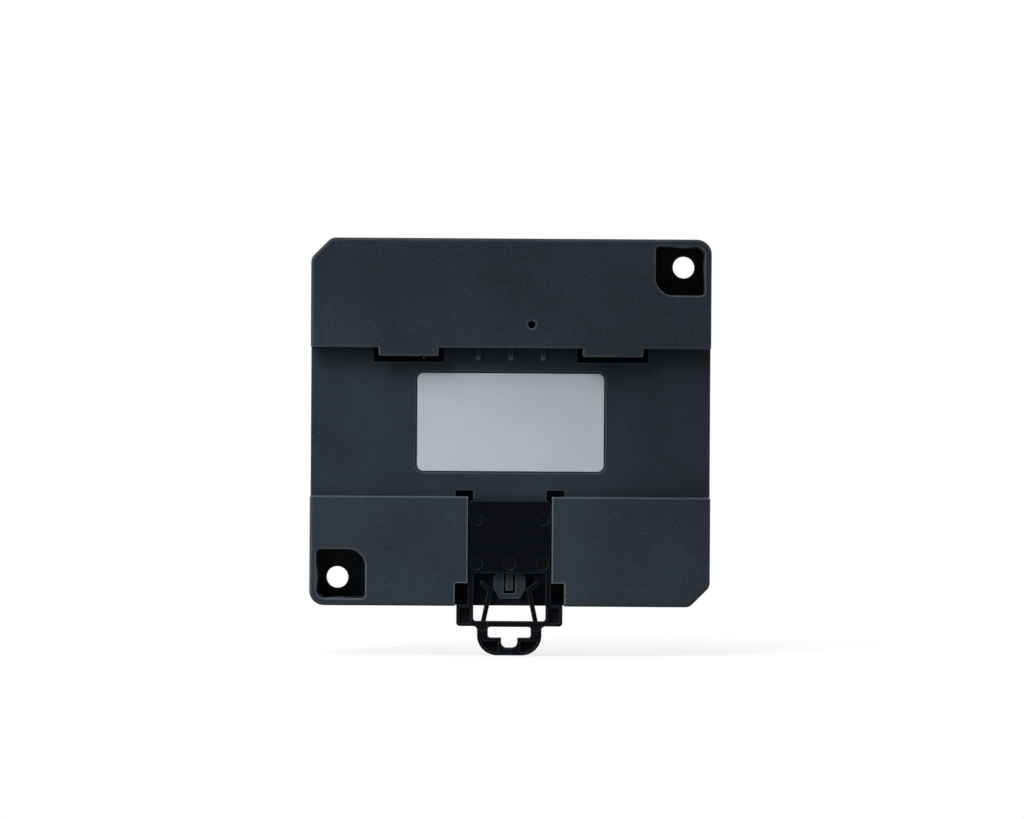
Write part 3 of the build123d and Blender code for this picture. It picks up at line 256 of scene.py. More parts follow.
# %% [markdown]
# ## Edges and layers
# On the real case every outer edge is slightly rounded and shows as a thin light line.  The edges
# of the CAD solids are sharp and catch no light.  A bevel could round them in the mesh, but the CAD
# meshes stay as they are, so a Bevel node turns only the normals over each edge.  The grain is kept
# for faces that look along the mould's draw, because a drafted wall comes out of the tool smoother.
# Dust, painted shade and painted highlights are then laid over the plastic in layers, each with its
# mask.

# %% Helpers for edges and layers
rays_per_point = 6


def openness(tree, reach, inside=False):
    """How open a point is, from 0 to 1, to what lies within a reach outside or inside the piece."""
    node = tree.nodes.new("ShaderNodeAmbientOcclusion")
    node.samples = rays_per_point
    node.inside = inside
    node.only_local = inside
    node.inputs["Distance"].default_value = reach
    return node.outputs["AO"]


def eased(finish, radius):
    """Round the sharp edges of a moulded finish in its shading, and keep its walls smoother."""
    tree = finish.node_tree
    bump = tree.nodes["Principled BSDF"].inputs["Normal"].links[0].from_node
    rounding = tree.nodes.new("ShaderNodeBevel")
    rounding.samples = rays_per_point
    rounding.inputs["Radius"].default_value = radius
    tree.links.new(rounding.outputs["Normal"], bump.inputs["Normal"])
    along_draw = combined(tree, "ABSOLUTE", facing(tree)[1])
    tree.links.new(ranged(tree, along_draw, 0.5, 0.9, 0.2, 1.0), bump.inputs["Strength"])


def layered(finish, mask, colour, rougher=0.0):
    """Lay a colour over a finish where the mask is 1, and make it rougher there, or smoother."""
    tree = finish.node_tree
    shader = tree.nodes["Principled BSDF"]
    base, gloss = shader.inputs["Base Color"], shader.inputs["Roughness"]
    tree.links.new(blended(tree, mask, base.links[0].from_socket, colour), base)
    if rougher:
        change = combined(tree, "MULTIPLY", mask, rougher)
        tree.links.new(combined(tree, "ADD", gloss.links[0].from_socket, change), gloss)


# %% [markdown]
# ## Painted shade, painted highlights and dust on the case and the clip
# The seam between the shells, the screw pockets and the recesses and marks of the clip get painted
# shade, a colour darkened toward black, because little light gets in and out of them.  The raised
# edges, the tops and ramps of the three small ribs and the flat of the bands get painted highlights.
# A few dust specks lie on the faces.  No mask needs a picture, because the shape itself tells where
# it is: a height along Y, a direction, or how open a point is.  Looked for inside the piece,
# openness is low only close to an outer edge.

# %% Masks of the painted shade
seam_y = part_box("rear_cover")[0].y
mark_floor_y = 4.15 * millimetre
recess_floor_y = 3.55 * millimetre
pocket_reach = 5 * millimetre
in_pocket, in_the_open = 0.15, 0.75     # openness of a pocket's floor and of a face


def painted_shade_in_hollows(tree, back):
    """Painted shade on the seam between the shells and in places too deep and narrow for the light.
    """
    # painted shade: the seam and deep, closed-in places are darkened in colour
    seam = ranged(tree, apart(tree, back, seam_y), 0.12 * millimetre, 0.25 * millimetre, 0.95, 0.0)
    deep = ranged(tree, openness(tree, pocket_reach), in_pocket, in_the_open, 0.85, 0.0)
    return combined(tree, "MAXIMUM", seam, deep)


def painted_shade_in_clip_marks(tree, back):
    """Painted shade on the clip's ejector marks and the floors of its recesses, by their height
    along Y.
    """
    from_marks = apart(tree, back, mark_floor_y)
    # painted shade: marks and recess floors are darkened in colour by their height
    marks = ranged(tree, from_marks, 0.05 * millimetre, 0.07 * millimetre, 0.6, 0.0)
    floors = ranged(tree, back, recess_floor_y, recess_floor_y + 0.2 * millimetre, 0.85, 0.0)
    return combined(tree, "MAXIMUM", marks, floors)


print("seam at", round(seam_y / millimetre, 2), "mm")

# %% Masks of the painted highlights and the dust
rib_rise = 0.5 * millimetre
low_edge_y, raised_edge_y = 3.4 * millimetre, 4.1 * millimetre
band_y = 4.9 * millimetre
at_edge, off_edge = 0.66, 0.96          # openness inside the piece, at an edge and away from it
speck_spacing = 3.1 * millimetre
cluster_width = 9 * millimetre
largest_speck = 0.045                   # radius as a share of the spacing


def highlight_on_ramps(tree, back, share=0.48):
    """Painted highlight on the ramps of the ribs: low faces that look back and a little down."""
    toward_back, up = facing(tree)[1:]
    aslant = combined(tree, "MINIMUM", ranged(tree, toward_back, 0.80, 0.85, 0.0, share),
                      ranged(tree, up, -0.30, -0.35, 0.0, share))
    low = combined(tree, "MINIMUM", ranged(tree, back, 0.01 * millimetre, 0.05 * millimetre),
                   ranged(tree, back, rib_rise, rib_rise + 0.05 * millimetre, 1.0, 0.0))
    return combined(tree, "MULTIPLY", aslant, low)


def painted_highlights(tree, back, edge, painted_shade):
    """Painted highlights on outer edges, most of all on raised places, then the flat of the bands
    and the rib ramps.
    """
    # painted highlight: a lighter colour along outer edges, rib tops, band faces and rib ramps
    outer = ranged(tree, openness(tree, edge, inside=True), at_edge, off_edge, 1.0, 0.0)
    rise = combined(tree, "ABSOLUTE", back)
    raised = ranged(tree, rise, low_edge_y, raised_edge_y, 0.3, 0.85)
    from_ribs = apart(tree, rise, rib_rise)
    on_ribs = ranged(tree, from_ribs, 0.05 * millimetre, 0.15 * millimetre, 0.30, 0.0)
    rim = combined(tree, "MULTIPLY", outer, combined(tree, "MAXIMUM", raised, on_ribs))
    rim = combined(tree, "MULTIPLY", rim, combined(tree, "SUBTRACT", 1.0, painted_shade))
    on_bands = ranged(tree, back, band_y - 0.3 * millimetre, band_y, 0.0, 0.022)
    rim = combined(tree, "MAXIMUM", rim, on_bands)
    return combined(tree, "MAXIMUM", rim, highlight_on_ramps(tree, back))


def dusty_places(tree, place, share):
    """Scattered specks up to 0.3 mm wide, in clusters, as strong as their share."""
    speck = cells(tree, place, speck_spacing)
    clustered = noise(tree, place, cluster_width, detail=1.0)
    size = ranged(tree, clustered, 0.5, 0.75, 0.0, largest_speck)
    return combined(tree, "MULTIPLY", combined(tree, "LESS_THAN", speck, size), share)


print("specks up to", round(2 * largest_speck * speck_spacing / millimetre, 2), "mm wide")

# %% Layers on the case and the clip
cool_shine = (0.80, 0.90, 1.0, 1.0)
dust_tone = screen(150, 155, 160)
# painted shade: how dark and how much rougher the shaded places become
painted_shade_darkness, painted_shade_roughness = 0.3, 0.35
rim_smoothing = -0.08


def dust_and_painted_light(slot, dust_share, painted_shade_mask_of, edge, painted_highlight_tone):
    """Dust, then painted shade in hollows and painted highlights on rims, over a moulded finish with
    eased edges.
    """
    finish = finishes[slot]
    tree = finish.node_tree
    tree.nodes["Principled BSDF"].inputs["Specular Tint"].default_value = cool_shine
    place = object_place(tree)
    back = split_place(tree, place)[1]
    layered(finish, dusty_places(tree, place, dust_share), dust_tone)
    # painted shade in the hollows, then painted highlights on the rims
    painted_shade = painted_shade_mask_of(tree, back)
    moulded_tone = screen(*plastics[slot][0])
    layered(finish, painted_shade, scaled(moulded_tone, painted_shade_darkness), painted_shade_roughness)
    layered(finish, painted_highlights(tree, back, edge, painted_shade), painted_highlight_tone, rim_smoothing)
    eased(finish, edge)
    print(finish.name, len(tree.nodes), "nodes")


# the last colour of each call is its painted highlight on the rims
dust_and_painted_light("case_plastic", 0.35, painted_shade_in_hollows, 0.42 * millimetre, screen(112, 121, 129))
dust_and_painted_light("clip_plastic", 0.12, painted_shade_in_clip_marks, 0.35 * millimetre, screen(36, 42, 50))

# %% [markdown]
# ## Label stock and front film
# The label is a matt grey polyester sticker, left bare here.  It has a paper-fine tooth and lies
# with a hardly visible waviness, which a long soft noise in the bump gives.  The film on the front
# is the opposite: smooth, nearly black and glossy, with the faint orange peel of laminated film.

# %% Label and film
def label_stock():
    """Matt grey sticker with a fine tooth, a soft cloud of tone and a slight wave."""
    middle_tone = screen(184, 191, 197)
    finish, tree, shader, place = new_finish("label stock", middle_tone, 0.6, specular=0.3)
    tooth = noise(tree, place, 0.14 * millimetre, detail=2.0)
    cloud = noise(tree, place, 9 * millimetre, detail=2.0)
    clouded = ranged(tree, cloud, 0.35, 0.65)
    toned = blended(tree, clouded, screen(182, 189, 195), screen(186, 193, 199))
    fibre = ranged(tree, tooth, 0.35, 0.65, 0.0, 0.35)
    tree.links.new(blended(tree, fibre, toned, screen(177, 184, 191)), shader.inputs["Base Color"])
    wave = bumped(tree, shader, cloud, 0.05 * millimetre, strength=0.5)
    bumped(tree, shader, tooth, 0.003 * millimetre, below=wave)
    return finish


def front_film():
    """Dark glossy film with orange peel, a little duller where it has been handled."""
    finish, tree, shader, place = new_finish("front film", screen(22, 25, 30), 0.12)
    shader.inputs["Coat Weight"].default_value = 0.4
    shader.inputs["Coat Roughness"].default_value = 0.06
    peel = noise(tree, place, 1.6 * millimetre, detail=1.0)
    handled = noise(tree, place, 14 * millimetre, detail=4.0)
    tree.links.new(ranged(tree, handled, 0.35, 0.7, 0.10, 0.20), shader.inputs["Roughness"])
    toned = blended(tree, ranged(tree, handled, *noise_span), screen(20, 23, 28), screen(25, 28, 33))
    tree.links.new(toned, shader.inputs["Base Color"])
    bumped(tree, shader, peel, 0.006 * millimetre, strength=0.6)
    return finish


finishes["label_paper"] = label_stock()
finishes["overlay_film"] = front_film()
print("finishes so far", len(finishes))

# %% [markdown]
# ## Metals
# Zinc, nickel and tin look alike in tone and differ in how they were worked.  Screws are tumbled,
# so their surface is finely pitted.  Cages and the radio can are rolled sheet, with a grain in one
# direction, which the recipe gets by stretching the coordinates before the noise reads them.

# %% Recipe for metal
even = (1.0, 1.0, 1.0)
along_z = (1.0, 1.0, 0.08)
stain_darkness = 0.72


def metal(name, tone, roughness, stretch, grain, depth):
    """Metal with a worked grain in gloss and height, and faint stains; sizes in millimetres."""
    colour = screen(*tone)
    finish, tree, shader, place = new_finish(name, colour, roughness, metallic=1.0)
    drawn = stretched(tree, place, stretch)
    worked = noise(tree, drawn, grain * millimetre, detail=4.0, roughness=0.6)
    stain = ranged(tree, noise(tree, place, 6 * millimetre, detail=3.0), 0.35, 0.7, 0.0, 0.8)
    stained = blended(tree, stain, colour, scaled(colour, stain_darkness))
    gloss = ranged(tree, worked, *noise_span, roughness - 0.08, roughness + 0.12)
    tree.links.new(stained, shader.inputs["Base Color"])
    tree.links.new(gloss, shader.inputs["Roughness"])
    bumped(tree, shader, worked, depth * millimetre)
    return finish


metals = {
    # slot: name, screen colour, roughness, stretch, grain, depth
    "zinc_steel": ("zinc plated steel", (206, 206, 200), 0.34, even, 0.3, 0.004),
    "screw_steel": ("nickel plated screw", (208, 204, 194), 0.28, even, 0.25, 0.004),
    "cage_steel": ("nickel plated cage", (200, 197, 189), 0.32, along_z, 0.2, 0.003),
    "tinned_copper": ("tinned copper", (214, 208, 194), 0.38, along_z, 0.25, 0.004),
    "shield_can": ("tinned can", (210, 211, 210), 0.30, along_z, 0.18, 0.002),
}
for slot, values in metals.items():
    finishes[slot] = metal(*values)
print("metals", len(metals))

# %% [markdown]
# ## Circuit boards
# A board is glass cloth under a varnish, here matt black.  The copper below shows as lighter
# tracks.  Two sets of fine bands, one across and one upright, are let through in patches by
# scattered cells, which gives bundles of parallel tracks without drawing any real circuit.

# %% Recipe for boards
track_pitch = 0.8 * millimetre
bundle_width = 7 * millimetre


def board(name, varnish, track, edge):
    """Solder mask with bundles of tracks under it, and bare glass cloth on the cut edges."""
    finish, tree, shader, place = new_finish(name, varnish, 0.4, specular=0.2)
    x, _, z = split_place(tree, place)
    bundles = cells(tree, stretched(tree, place, (1.0, 0.0, 1.0)), bundle_width)
    bands = []
    for along in (x, z):
        phase = combined(tree, "MULTIPLY", along, 2 * math.pi / track_pitch)
        bands.append(ranged(tree, combined(tree, "SINE", phase), 0.2, 0.4))
    upright = combined(tree, "MULTIPLY", bands[0], ranged(tree, bundles, 0.30, 0.32, 1.0, 0.0))
    across = combined(tree, "MULTIPLY", bands[1], ranged(tree, bundles, 0.52, 0.54))
    tracks = combined(tree, "MAXIMUM", upright, across)
    side = combined(tree, "LESS_THAN", combined(tree, "ABSOLUTE", facing(tree)[1]), 0.5)
    toned = blended(tree, side, blended(tree, tracks, varnish, track), edge)
    tree.links.new(toned, shader.inputs["Base Color"])
    weave = noise(tree, place, 0.5 * millimetre, detail=1.0)
    cloth = bumped(tree, shader, weave, 0.003 * millimetre, strength=0.5)
    bumped(tree, shader, tracks, 0.03 * millimetre, strength=0.4, below=cloth)
    return finish


finishes["circuit_board"] = board("black board", screen(7, 8, 8), screen(13, 15, 14),
                                  screen(60, 58, 46))
finishes["module_board"] = board("blue board", screen(18, 36, 82), screen(28, 52, 108),
                                 screen(120, 124, 110))
print("boards", finishes["circuit_board"].name, "and", finishes["module_board"].name)

# %% [markdown]
# ## Lacquer, sleeves, lamps and clear plastic
# The varistor is dipped in blue epoxy, which stays a little lumpy.  A capacitor has a shrink sleeve
# round it and a bare aluminium top; both sit in one solid, so the finish asks which way the
# surface faces.  The light guide is clear plastic and the lamps below it have milky lenses.

# %% Finishes of the small parts
def lacquer():
    """Dipped blue epoxy, lumpy and glossy."""
    finish, tree, shader, place = new_finish("blue lacquer", screen(34, 78, 150), 0.28)
    lumps = noise(tree, place, 2.4 * millimetre, detail=1.5)
    toned = blended(tree, ranged(tree, lumps, *noise_span), screen(30, 70, 138), screen(38, 86, 162))
    tree.links.new(toned, shader.inputs["Base Color"])
    bumped(tree, shader, lumps, 0.12 * millimetre, strength=0.6)
    return finish


def sleeve():
    """Dark shrink sleeve with one pale stripe, and a bare metal top that faces the front."""
    finish, tree, shader, place = new_finish("capacitor sleeve", screen(34, 36, 46), 0.34)
    toward_side, toward_back = facing(tree)[:2]
    top = combined(tree, "LESS_THAN", toward_back, -0.92)
    stripe = combined(tree, "GREATER_THAN", toward_side, 0.9)
    wrinkle = noise(tree, place, 1.4 * millimetre, detail=3.0)
    wrinkled = ranged(tree, wrinkle, *noise_span)
    wrapped = blended(tree, wrinkled, screen(30, 32, 42), screen(40, 42, 52))
    striped = blended(tree, stripe, wrapped, screen(150, 154, 160))
    tree.links.new(blended(tree, top, striped, screen(205, 206, 208)), shader.inputs["Base Color"])
    tree.links.new(top, shader.inputs["Metallic"])
    bumped(tree, shader, wrinkle, 0.01 * millimetre)
    return finish


def milky_lens():
    """Pale, slightly cloudy resin that lets some light in."""
    finish, tree, shader, place = new_finish("lamp lens", screen(228, 234, 224), 0.35)
    cloud = noise(tree, place, 0.5 * millimetre, detail=2.0)
    toned = blended(tree, cloud, screen(232, 236, 226), screen(214, 224, 204))
    tree.links.new(toned, shader.inputs["Base Color"])
    shader.inputs["Subsurface Weight"].default_value = 0.2
    shader.inputs["Subsurface Scale"].default_value = 0.3 * millimetre
    bumped(tree, shader, cloud, 0.002 * millimetre)
    return finish


def clear_guide():
    """Clear polycarbonate with faint flow lines from the mould."""
    finish, tree, shader, place = new_finish("light guide", screen(232, 240, 242), 0.08)
    shader.inputs["Transmission Weight"].default_value = 0.9
    shader.inputs["IOR"].default_value = 1.58
    flow = noise(tree, stretched(tree, place, (1.0, 0.2, 1.0)), 2.0 * millimetre, detail=2.0)
    toned = blended(tree, flow, screen(236, 242, 244), screen(222, 232, 236))
    tree.links.new(toned, shader.inputs["Base Color"])
    tree.links.new(ranged(tree, flow, *noise_span, 0.05, 0.14), shader.inputs["Roughness"])
    bumped(tree, shader, flow, 0.01 * millimetre, strength=0.4)
    return finish


finishes["varistor_lacquer"] = lacquer()
finishes["capacitor_sleeve"] = sleeve()
finishes["lamp_lens"] = milky_lens()
finishes["clear_plastic"] = clear_guide()
print("finishes so far", len(finishes))

# %% [markdown]
# ## Dress the CAD nodes
# The record says which material slot each node takes its finish from, so one loop can dress them
# all.  Only the material in each slot changes; the meshes stay as CAD made them.

# %% Give each node its finish
slot_of = {part["node"]: part["material_slot"] for part in frame["record"]["subparts"]}
for name, node in frame["nodes"].items():
    finish = finishes[slot_of[name]]
    if not node.material_slots:
        node.data.materials.append(finish)
    for material_slot in node.material_slots:
        material_slot.material = finish
print("dressed", len(frame["nodes"]), "nodes in", len(finishes), "finishes")

# %% [markdown]
# ## One recipe for what repeats
# Solder joints and chip parts come in dozens, all alike.  Each kind is a small Geometry Nodes tree:
# it takes a mesh that is only points, puts one finished shape on each and makes the copies real.
# The result is then turned into a plain mesh, so no modifier is left on the piece.

# %% Helpers for repeated pieces
def points_mesh(name, places):
    """A mesh of bare points, as an object at the origin."""
    mesh = bpy.data.meshes.new(name)
    mesh.from_pydata([tuple(p) for p in places], [], [])
    piece = bpy.data.objects.new(name, mesh)
    bpy.context.scene.collection.objects.link(piece)
    return piece


def new_tree(name, sizes):
    """A geometry tree with one named input for each size."""
    tree = bpy.data.node_groups.new(name, "GeometryNodeTree")
    tree.interface.new_socket("Geometry", in_out="INPUT", socket_type="NodeSocketGeometry")
    for size in sizes:
        tree.interface.new_socket(size, in_out="INPUT", socket_type="NodeSocketFloat")
    tree.interface.new_socket("Geometry", in_out="OUTPUT", socket_type="NodeSocketGeometry")
    return tree, tree.nodes.new("NodeGroupInput"), tree.nodes.new("NodeGroupOutput")


def in_finish(tree, geometry, finish):
    """Give a shape inside a tree its finish."""
    dress = tree.nodes.new("GeometryNodeSetMaterial")
    dress.inputs["Material"].default_value = finish
    tree.links.new(geometry, dress.inputs["Geometry"])
    return dress.outputs["Geometry"]


def copied(tree, points, shape):
    """Put the shape on every point and make the copies real."""
    copies = tree.nodes.new("GeometryNodeInstanceOnPoints")
    tree.links.new(points, copies.inputs["Points"])
    tree.links.new(shape, copies.inputs["Instance"])
    real = tree.nodes.new("GeometryNodeRealizeInstances")
    tree.links.new(copies.outputs["Instances"], real.inputs["Geometry"])
    return real.outputs["Geometry"]


def made_plain(piece, tree, sizes):
    """Run the tree on the piece with these sizes, and keep the result as a plain mesh."""
    modifier = piece.modifiers.new(tree.name, "NODES")
    modifier.node_group = tree
    for socket in tree.interface.items_tree:
        if socket.in_out == "INPUT" and socket.name in sizes:
            modifier[socket.identifier] = sizes[socket.name]
    bpy.context.view_layer.update()
    evaluated = piece.evaluated_get(bpy.context.evaluated_depsgraph_get())
    mesh = bpy.data.meshes.new_from_object(evaluated)
    piece.modifiers.clear()
    piece.data = mesh
    print(piece.name, len(mesh.polygons), "faces")


# %% [markdown]
# ## Where the leads come through
# Every lead that comes through the board is soldered on the back.  The places could be typed in,
# but then a change in CAD would leave the solder behind, so they are read from the CAD meshes: the
# points of a lead that stand behind the board form a small cluster, and its middle is the place.

# %% Find the leads
board_low, board_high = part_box("main_board")
board_back = board_high.y
board_front = board_low.y
lead_cell = 1.5 * millimetre
lead_reach = 0.3 * millimetre


def lead_places(node):
    """Where the leads of a node come out of the back of the board: the middle of each cluster."""
    clusters = {}
    for vertex in frame["nodes"][node].data.vertices:
        if vertex.co.y > board_back + lead_reach:
            key = (round(vertex.co.x / lead_cell), round(vertex.co.z / lead_cell))
            clusters.setdefault(key, []).append(vertex.co)
    merged = []
    for members in clusters.values():
        middle = sum(members, Vector()) / len(members)
        for group in merged:
            if (group[0].xz - middle.xz).length < lead_cell:
                group.append(middle)
                break
        else:
            merged.append([middle])
    return [sum(group, Vector()) / len(group) for group in merged]


soldered = ("terminal_contacts", "ct_socket_pins", "power_module", "fuse", "varistor",
            "bulk_capacitors")
leads = []
for node in soldered:
    found = lead_places(node)
    print(node, len(found), "leads")
    leads += [Vector((p.x, board_back, p.z)) for p in found]

# %% [markdown]
# ## Solder joints
# The metal climbs each lead in a small cone with a wide foot.  A turned profile would show its
# hollow flank, but at a millimetre a plain cone of three rings with smooth shading looks the same
# and has few faces.

# %% Solder joints on the back of the board
solder_tree, given, out = new_tree("solder joint", ["Foot Radius", "Neck Radius", "Height"])
cone = solder_tree.nodes.new("GeometryNodeMeshCone")
cone.inputs["Vertices"].default_value = 16
cone.inputs["Side Segments"].default_value = 3
solder_tree.links.new(given.outputs["Neck Radius"], cone.inputs["Radius Top"])
solder_tree.links.new(given.outputs["Foot Radius"], cone.inputs["Radius Bottom"])
solder_tree.links.new(given.outputs["Height"], cone.inputs["Depth"])
upright = solder_tree.nodes.new("GeometryNodeTransform")
upright.inputs["Rotation"].default_value = (-math.pi / 2, 0, 0)
solder_tree.links.new(cone.outputs["Mesh"], upright.inputs["Geometry"])
smooth = solder_tree.nodes.new("GeometryNodeSetShadeSmooth")
solder_tree.links.new(upright.outputs["Geometry"], smooth.inputs["Geometry"])
finishes["solder"] = metal("solder", (206, 207, 208), 0.22, even, 0.5, 0.01)
joints = copied(solder_tree, given.outputs["Geometry"], smooth.outputs["Geometry"])
solder_tree.links.new(in_finish(solder_tree, joints, finishes["solder"]), out.inputs["Geometry"])

solder = points_mesh("solder_joints", leads)
made_plain(solder, solder_tree, {"Foot Radius": 1.05 * millimetre, "Neck Radius": 0.45 * millimetre,
                                 "Height": 0.9 * millimetre})
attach(solder, "housing")

# %% [markdown]
# ## Chip resistors and capacitors
# Round the measuring chip sit rows of small parts, each a dark or sandy block with two tinned ends.
# One tree makes the block and its ends from three boxes, gives each its own finish, and only then
# copies them.  Two meshes of points use it: resistors lie along the board, capacitors stand across.

# %% Tree of a chip part
sandy = screen(168, 142, 104)
finishes["chip_ceramic"] = moulded("chip ceramic", sandy, 0.5, 0.4, 0.1, 0.004, 0.08)


def chip_tree(name, body_finish, along):
    """A block between two tinned ends, drawn out along X or Z, on every point."""
    tree, given, out = new_tree(name, ["Length", "Width", "Height", "End"])
    length, end = given.outputs["Length"], given.outputs["End"]
    parts = tree.nodes.new("GeometryNodeJoinGeometry")

    def add_box(box_length, offset, finish):
        """One box of the part, moved along it by an offset."""
        size = tree.nodes.new("ShaderNodeCombineXYZ")
        tree.links.new(box_length, size.inputs[along])
        tree.links.new(given.outputs["Height"], size.inputs["Y"])
        tree.links.new(given.outputs["Width"], size.inputs["Z" if along == "X" else "X"])
        cube = tree.nodes.new("GeometryNodeMeshCube")
        tree.links.new(size.outputs["Vector"], cube.inputs["Size"])
        step = tree.nodes.new("ShaderNodeCombineXYZ")
        feed(tree, step.inputs[along], offset)
        moved = tree.nodes.new("GeometryNodeTransform")
        tree.links.new(cube.outputs["Mesh"], moved.inputs["Geometry"])
        tree.links.new(step.outputs["Vector"], moved.inputs["Translation"])
        dressed = in_finish(tree, moved.outputs["Geometry"], finish)
        tree.links.new(dressed, parts.inputs["Geometry"])

    middle = combined(tree, "SUBTRACT", length, combined(tree, "MULTIPLY", end, 2.0))
    reach = combined(tree, "MULTIPLY", combined(tree, "SUBTRACT", length, end), 0.5)
    add_box(middle, 0.0, body_finish)
    add_box(end, reach, finishes["solder"])
    add_box(end, combined(tree, "MULTIPLY", reach, -1.0), finishes["solder"])
    chips_there = copied(tree, given.outputs["Geometry"], parts.outputs["Geometry"])
    tree.links.new(chips_there, out.inputs["Geometry"])
    return tree


# %% Chip parts on the front of the board
chip_length, chip_width = 1.6 * millimetre, 0.8 * millimetre
tinned_end = 0.3 * millimetre
clear_of_board = 0.02 * millimetre


def chips(name, tree, columns, rows, height):
    """A block of chip parts in columns and rows, standing just clear of the board's front."""
    y = board_front - height / 2 - clear_of_board
    piece = points_mesh(name, [(x, y, z) for x in columns for z in rows])
    made_plain(piece, tree, {"Length": chip_length, "Width": chip_width, "Height": height,
                             "End": tinned_end})
    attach(piece, "housing")


chip_low, chip_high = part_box("metering_chip")
left_columns = [chip_low.x - (2.6 + column * 3.0) * millimetre for column in range(4)]
right_columns = [chip_high.x + (2.2 + column * 2.2) * millimetre for column in range(2)]
chip_rows = [chip_low.z + (0.8 + row * 2.4) * millimetre for row in range(5)]
chips("chip_resistors", chip_tree("chip resistor", finishes["chip_resin"], "X"),
      left_columns, chip_rows, 0.5 * millimetre)
chips("chip_capacitors", chip_tree("chip capacitor", finishes["chip_ceramic"], "Z"),
      right_columns, chip_rows, 0.7 * millimetre)

# %% [markdown]
# ## Floor and white surroundings
# The photograph has a pure white ground.  A bright floor and sky would give it, but they would also
# light the dark case from all sides and wash out its tone.  So the floor and the world are white
# only for the camera and through glass.  Reflections see them half as bright on the far side and
# nearly black on the camera's side, as in a studio with a dark room behind the camera: the flat
# faces keep their deep tone and the edges pick up a thin light rim.  For the light that bounces
# on to the object the floor is a middle grey.  Near the object the floor keeps part of its own
# shading, so that the object's shadow still lies on it.

# %% Helpers for white surroundings
pure_white = (1.0, 1.0, 1.0, 1.0)
far_reflection, near_reflection = 0.45, 0.06


def seen_as_white(tree, toward_camera, far, near):
    """1 for rays from the camera and through glass; reflections lose it toward the camera."""
    rays = tree.nodes.new("ShaderNodeLightPath").outputs
    share = ranged(tree, toward_camera, far, near, far_reflection, near_reflection)
    reflected = combined(tree, "MULTIPLY", rays["Is Glossy Ray"], share)
    direct = combined(tree, "MAXIMUM", rays["Is Camera Ray"], rays["Is Transmission Ray"])
    return combined(tree, "MAXIMUM", direct, reflected)


def mixed_into(tree, output, share, first, second):
    """Send a mix of two shaders to an output: the first where the share is 0."""
    node = tree.nodes.new("ShaderNodeMixShader")
    tree.links.new(share, node.inputs["Fac"])
    tree.links.new(first, node.inputs[1])
    tree.links.new(second, node.inputs[2])
    tree.links.new(node.outputs["Shader"], tree.nodes[output].inputs["Surface"])


# %% Floor
floor_z = cad_box[0][2] - 0.2 * millimetre
floor_reach = 3.0
shadow_near, shadow_far = 0.12, 0.45
shadow_white = 0.78

corners = [(-1, -1), (1, -1), (1, 1), (-1, 1)]
floor_mesh = bpy.data.meshes.new("floor")
floor_mesh.from_pydata([(x * floor_reach, y * floor_reach, floor_z) for x, y in corners], [],
                       [(0, 1, 2, 3)])
floor = bpy.data.objects.new("floor", floor_mesh)
bpy.context.scene.collection.objects.link(floor)

paper, tree, shader, place = new_finish("pale floor", screen(236, 236, 236), 0.9, specular=0.1)
grain = noise(tree, place, 40 * millimetre)
paper_tone = blended(tree, grain, screen(252, 252, 252), screen(250, 250, 250))
looked_at = tree.nodes.new("ShaderNodeLightPath").outputs["Is Camera Ray"]
floor_tone = blended(tree, looked_at, screen(150, 150, 152), paper_tone)
tree.links.new(floor_tone, shader.inputs["Base Color"])
white = tree.nodes.new("ShaderNodeEmission")
white.inputs["Color"].default_value = pure_white
white.inputs["Strength"].default_value = 1.0
away = tree.nodes.new("ShaderNodeVectorMath")
away.operation = "LENGTH"
tree.links.new(place, away.inputs[0])
shadow_room = ranged(tree, away.outputs["Value"], shadow_near, shadow_far, shadow_white, 1.0)
seen = seen_as_white(tree, split_place(tree, place)[1], far=0.0, near=0.10)
white_share = combined(tree, "MULTIPLY", seen, shadow_room)
mixed_into(tree, "Material Output", white_share, shader.outputs["BSDF"], white.outputs["Emission"])
floor_mesh.materials.append(paper)
print("floor at", round(floor_z / millimetre, 1), "mm")

# %% World
world = bpy.data.worlds.new("studio")
bpy.context.scene.world = world
world.use_nodes = True
sky = world.node_tree
room = sky.nodes["Background"]
room.inputs["Color"].default_value = (0.94, 0.97, 1.0, 1.0)
room.inputs["Strength"].default_value = 0.07
ground = sky.nodes.new("ShaderNodeBackground")
ground.inputs["Color"].default_value = pure_white
ground.inputs["Strength"].default_value = 1.0
sky_y = split_place(sky, sky.nodes.new("ShaderNodeTexCoord").outputs["Generated"])[1]
mixed_into(sky, "World Output", seen_as_white(sky, sky_y, far=0.15, near=0.65),
           room.outputs["Background"], ground.outputs["Background"])
print("room light", round(room.inputs["Strength"].default_value, 3))

# %% [markdown]
# ## Lamps
# The shadow under the upper step of the case is dark at its root and gone after five millimetres,
# so the main lamp is large and stands above and to the left of the camera.  The lower left of the
# case is a little lighter than the rest.  One more large lamp would lighten it all, so four small
# spots with a wide soft rim pool their light there; they hang one above the other, because a single
# one would draw a hard shadow under the step.  Every edge shines a little, so more lamps stand
# beside and above the object and only graze its flat faces, with the strongest on the left.  Two
# lamps on the far side serve only the views of the front.  A lamp's share says which part of full
# light it gives to a surface that faces it, so the shares and the room's light can be added up.

# %% Lamps
middle = (Vector(cad_box[0]) + Vector(cad_box[1])) / 2
pool_centre = Vector((0.025, 0.0, -0.05))


def hung(name, light, direction, distance, target):
    """Hang a light in a direction from its target, at a distance in metres, and turn it there."""
    lamp = bpy.data.objects.new(name, light)
    toward = Vector(direction).normalized()
    lamp.location = target + toward * distance
    lamp.rotation_euler = toward.to_track_quat("Z", "Y").to_euler()
    bpy.context.scene.collection.objects.link(lamp)
    print(name, "energy", round(light.energy, 2))


def soft_lamp(name, direction, distance, size, share):
    """A square lamp that faces the middle of the object."""
    light = bpy.data.lights.new(name, "AREA")
    light.shape = "SQUARE"
    light.size = size
    light.energy = share * math.pi ** 2 * distance ** 2
    hung(name, light, direction, distance, middle)


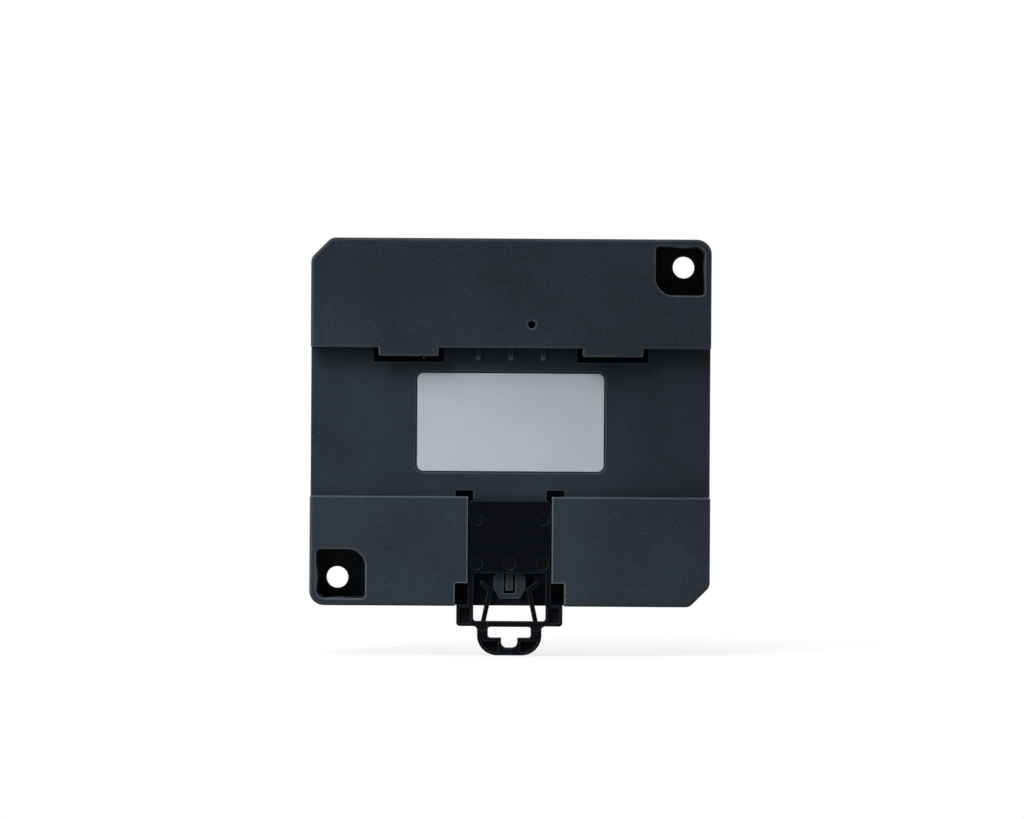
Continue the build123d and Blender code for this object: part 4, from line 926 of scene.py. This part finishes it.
def aimed_lamp(name, direction, distance, spread, size, share):
    """A round lamp whose pool of light fades away from its centre; spread in degrees."""
    light = bpy.data.lights.new(name, "SPOT")
    light.spot_size = math.radians(spread)
    light.spot_blend = 1.0
    light.shadow_soft_size = size / 2
    light.energy = share * 4 * math.pi ** 2 * distance ** 2
    hung(name, light, direction, distance, pool_centre)


soft_lamp("main_lamp", (0.50, 0.8, 1.0), 1.3, 0.6, 0.54)
for number, height in enumerate((0.25, 0.5, 0.75, 1.0), 1):
    aimed_lamp(f"aimed_lamp_{number}", (0.8, 1.0, height), 1.3, 8.0, 0.06, 0.11)
soft_lamp("left_edge_lamp", (1.0, 0.22, 0.12), 0.8, 0.5, 0.60)
soft_lamp("right_edge_lamp", (-1.0, 0.22, 0.12), 0.8, 0.5, 0.25)
soft_lamp("top_edge_lamp", (0.1, 0.2, 1.0), 0.9, 0.5, 0.30)
soft_lamp("front_main_lamp", (-0.6, -0.9, 0.8), 1.4, 0.8, 0.60)
soft_lamp("front_side_lamp", (0.9, -0.7, 0.4), 1.4, 0.7, 0.20)

# %% [markdown]
# ## Camera
# The photograph looks straight at the back from a little over a metre with a long lens, and was
# taken with the camera hardly a third of a degree off level.  The lens follows from the width of
# one pixel on the case, so the object keeps its size in the picture.

# %% Camera
picture_width = 1024
sensor_width = 36.0
camera_at = Vector((-0.347 * millimetre, 1.205, 3.156 * millimetre))
roll = math.radians(0.355)
distance_to_case = 1.2
pixel_on_case = 0.2445 * millimetre

lens = bpy.data.cameras.new("camera")
lens.sensor_fit = "HORIZONTAL"
lens.sensor_width = sensor_width
lens.lens = sensor_width * distance_to_case / (picture_width * pixel_on_case)
lens.clip_end = 50.0
camera = bpy.data.objects.new("camera", lens)
level = Matrix.Rotation(math.pi, 4, "Z") @ Matrix.Rotation(math.pi / 2, 4, "X")
camera.matrix_world = Matrix.Translation(camera_at) @ level @ Matrix.Rotation(roll, 4, "Z")
bpy.context.scene.collection.objects.link(camera)
bpy.context.scene.camera = camera
bpy.context.scene.view_settings.view_transform = "Standard"
print("lens", round(lens.lens, 2), "mm")
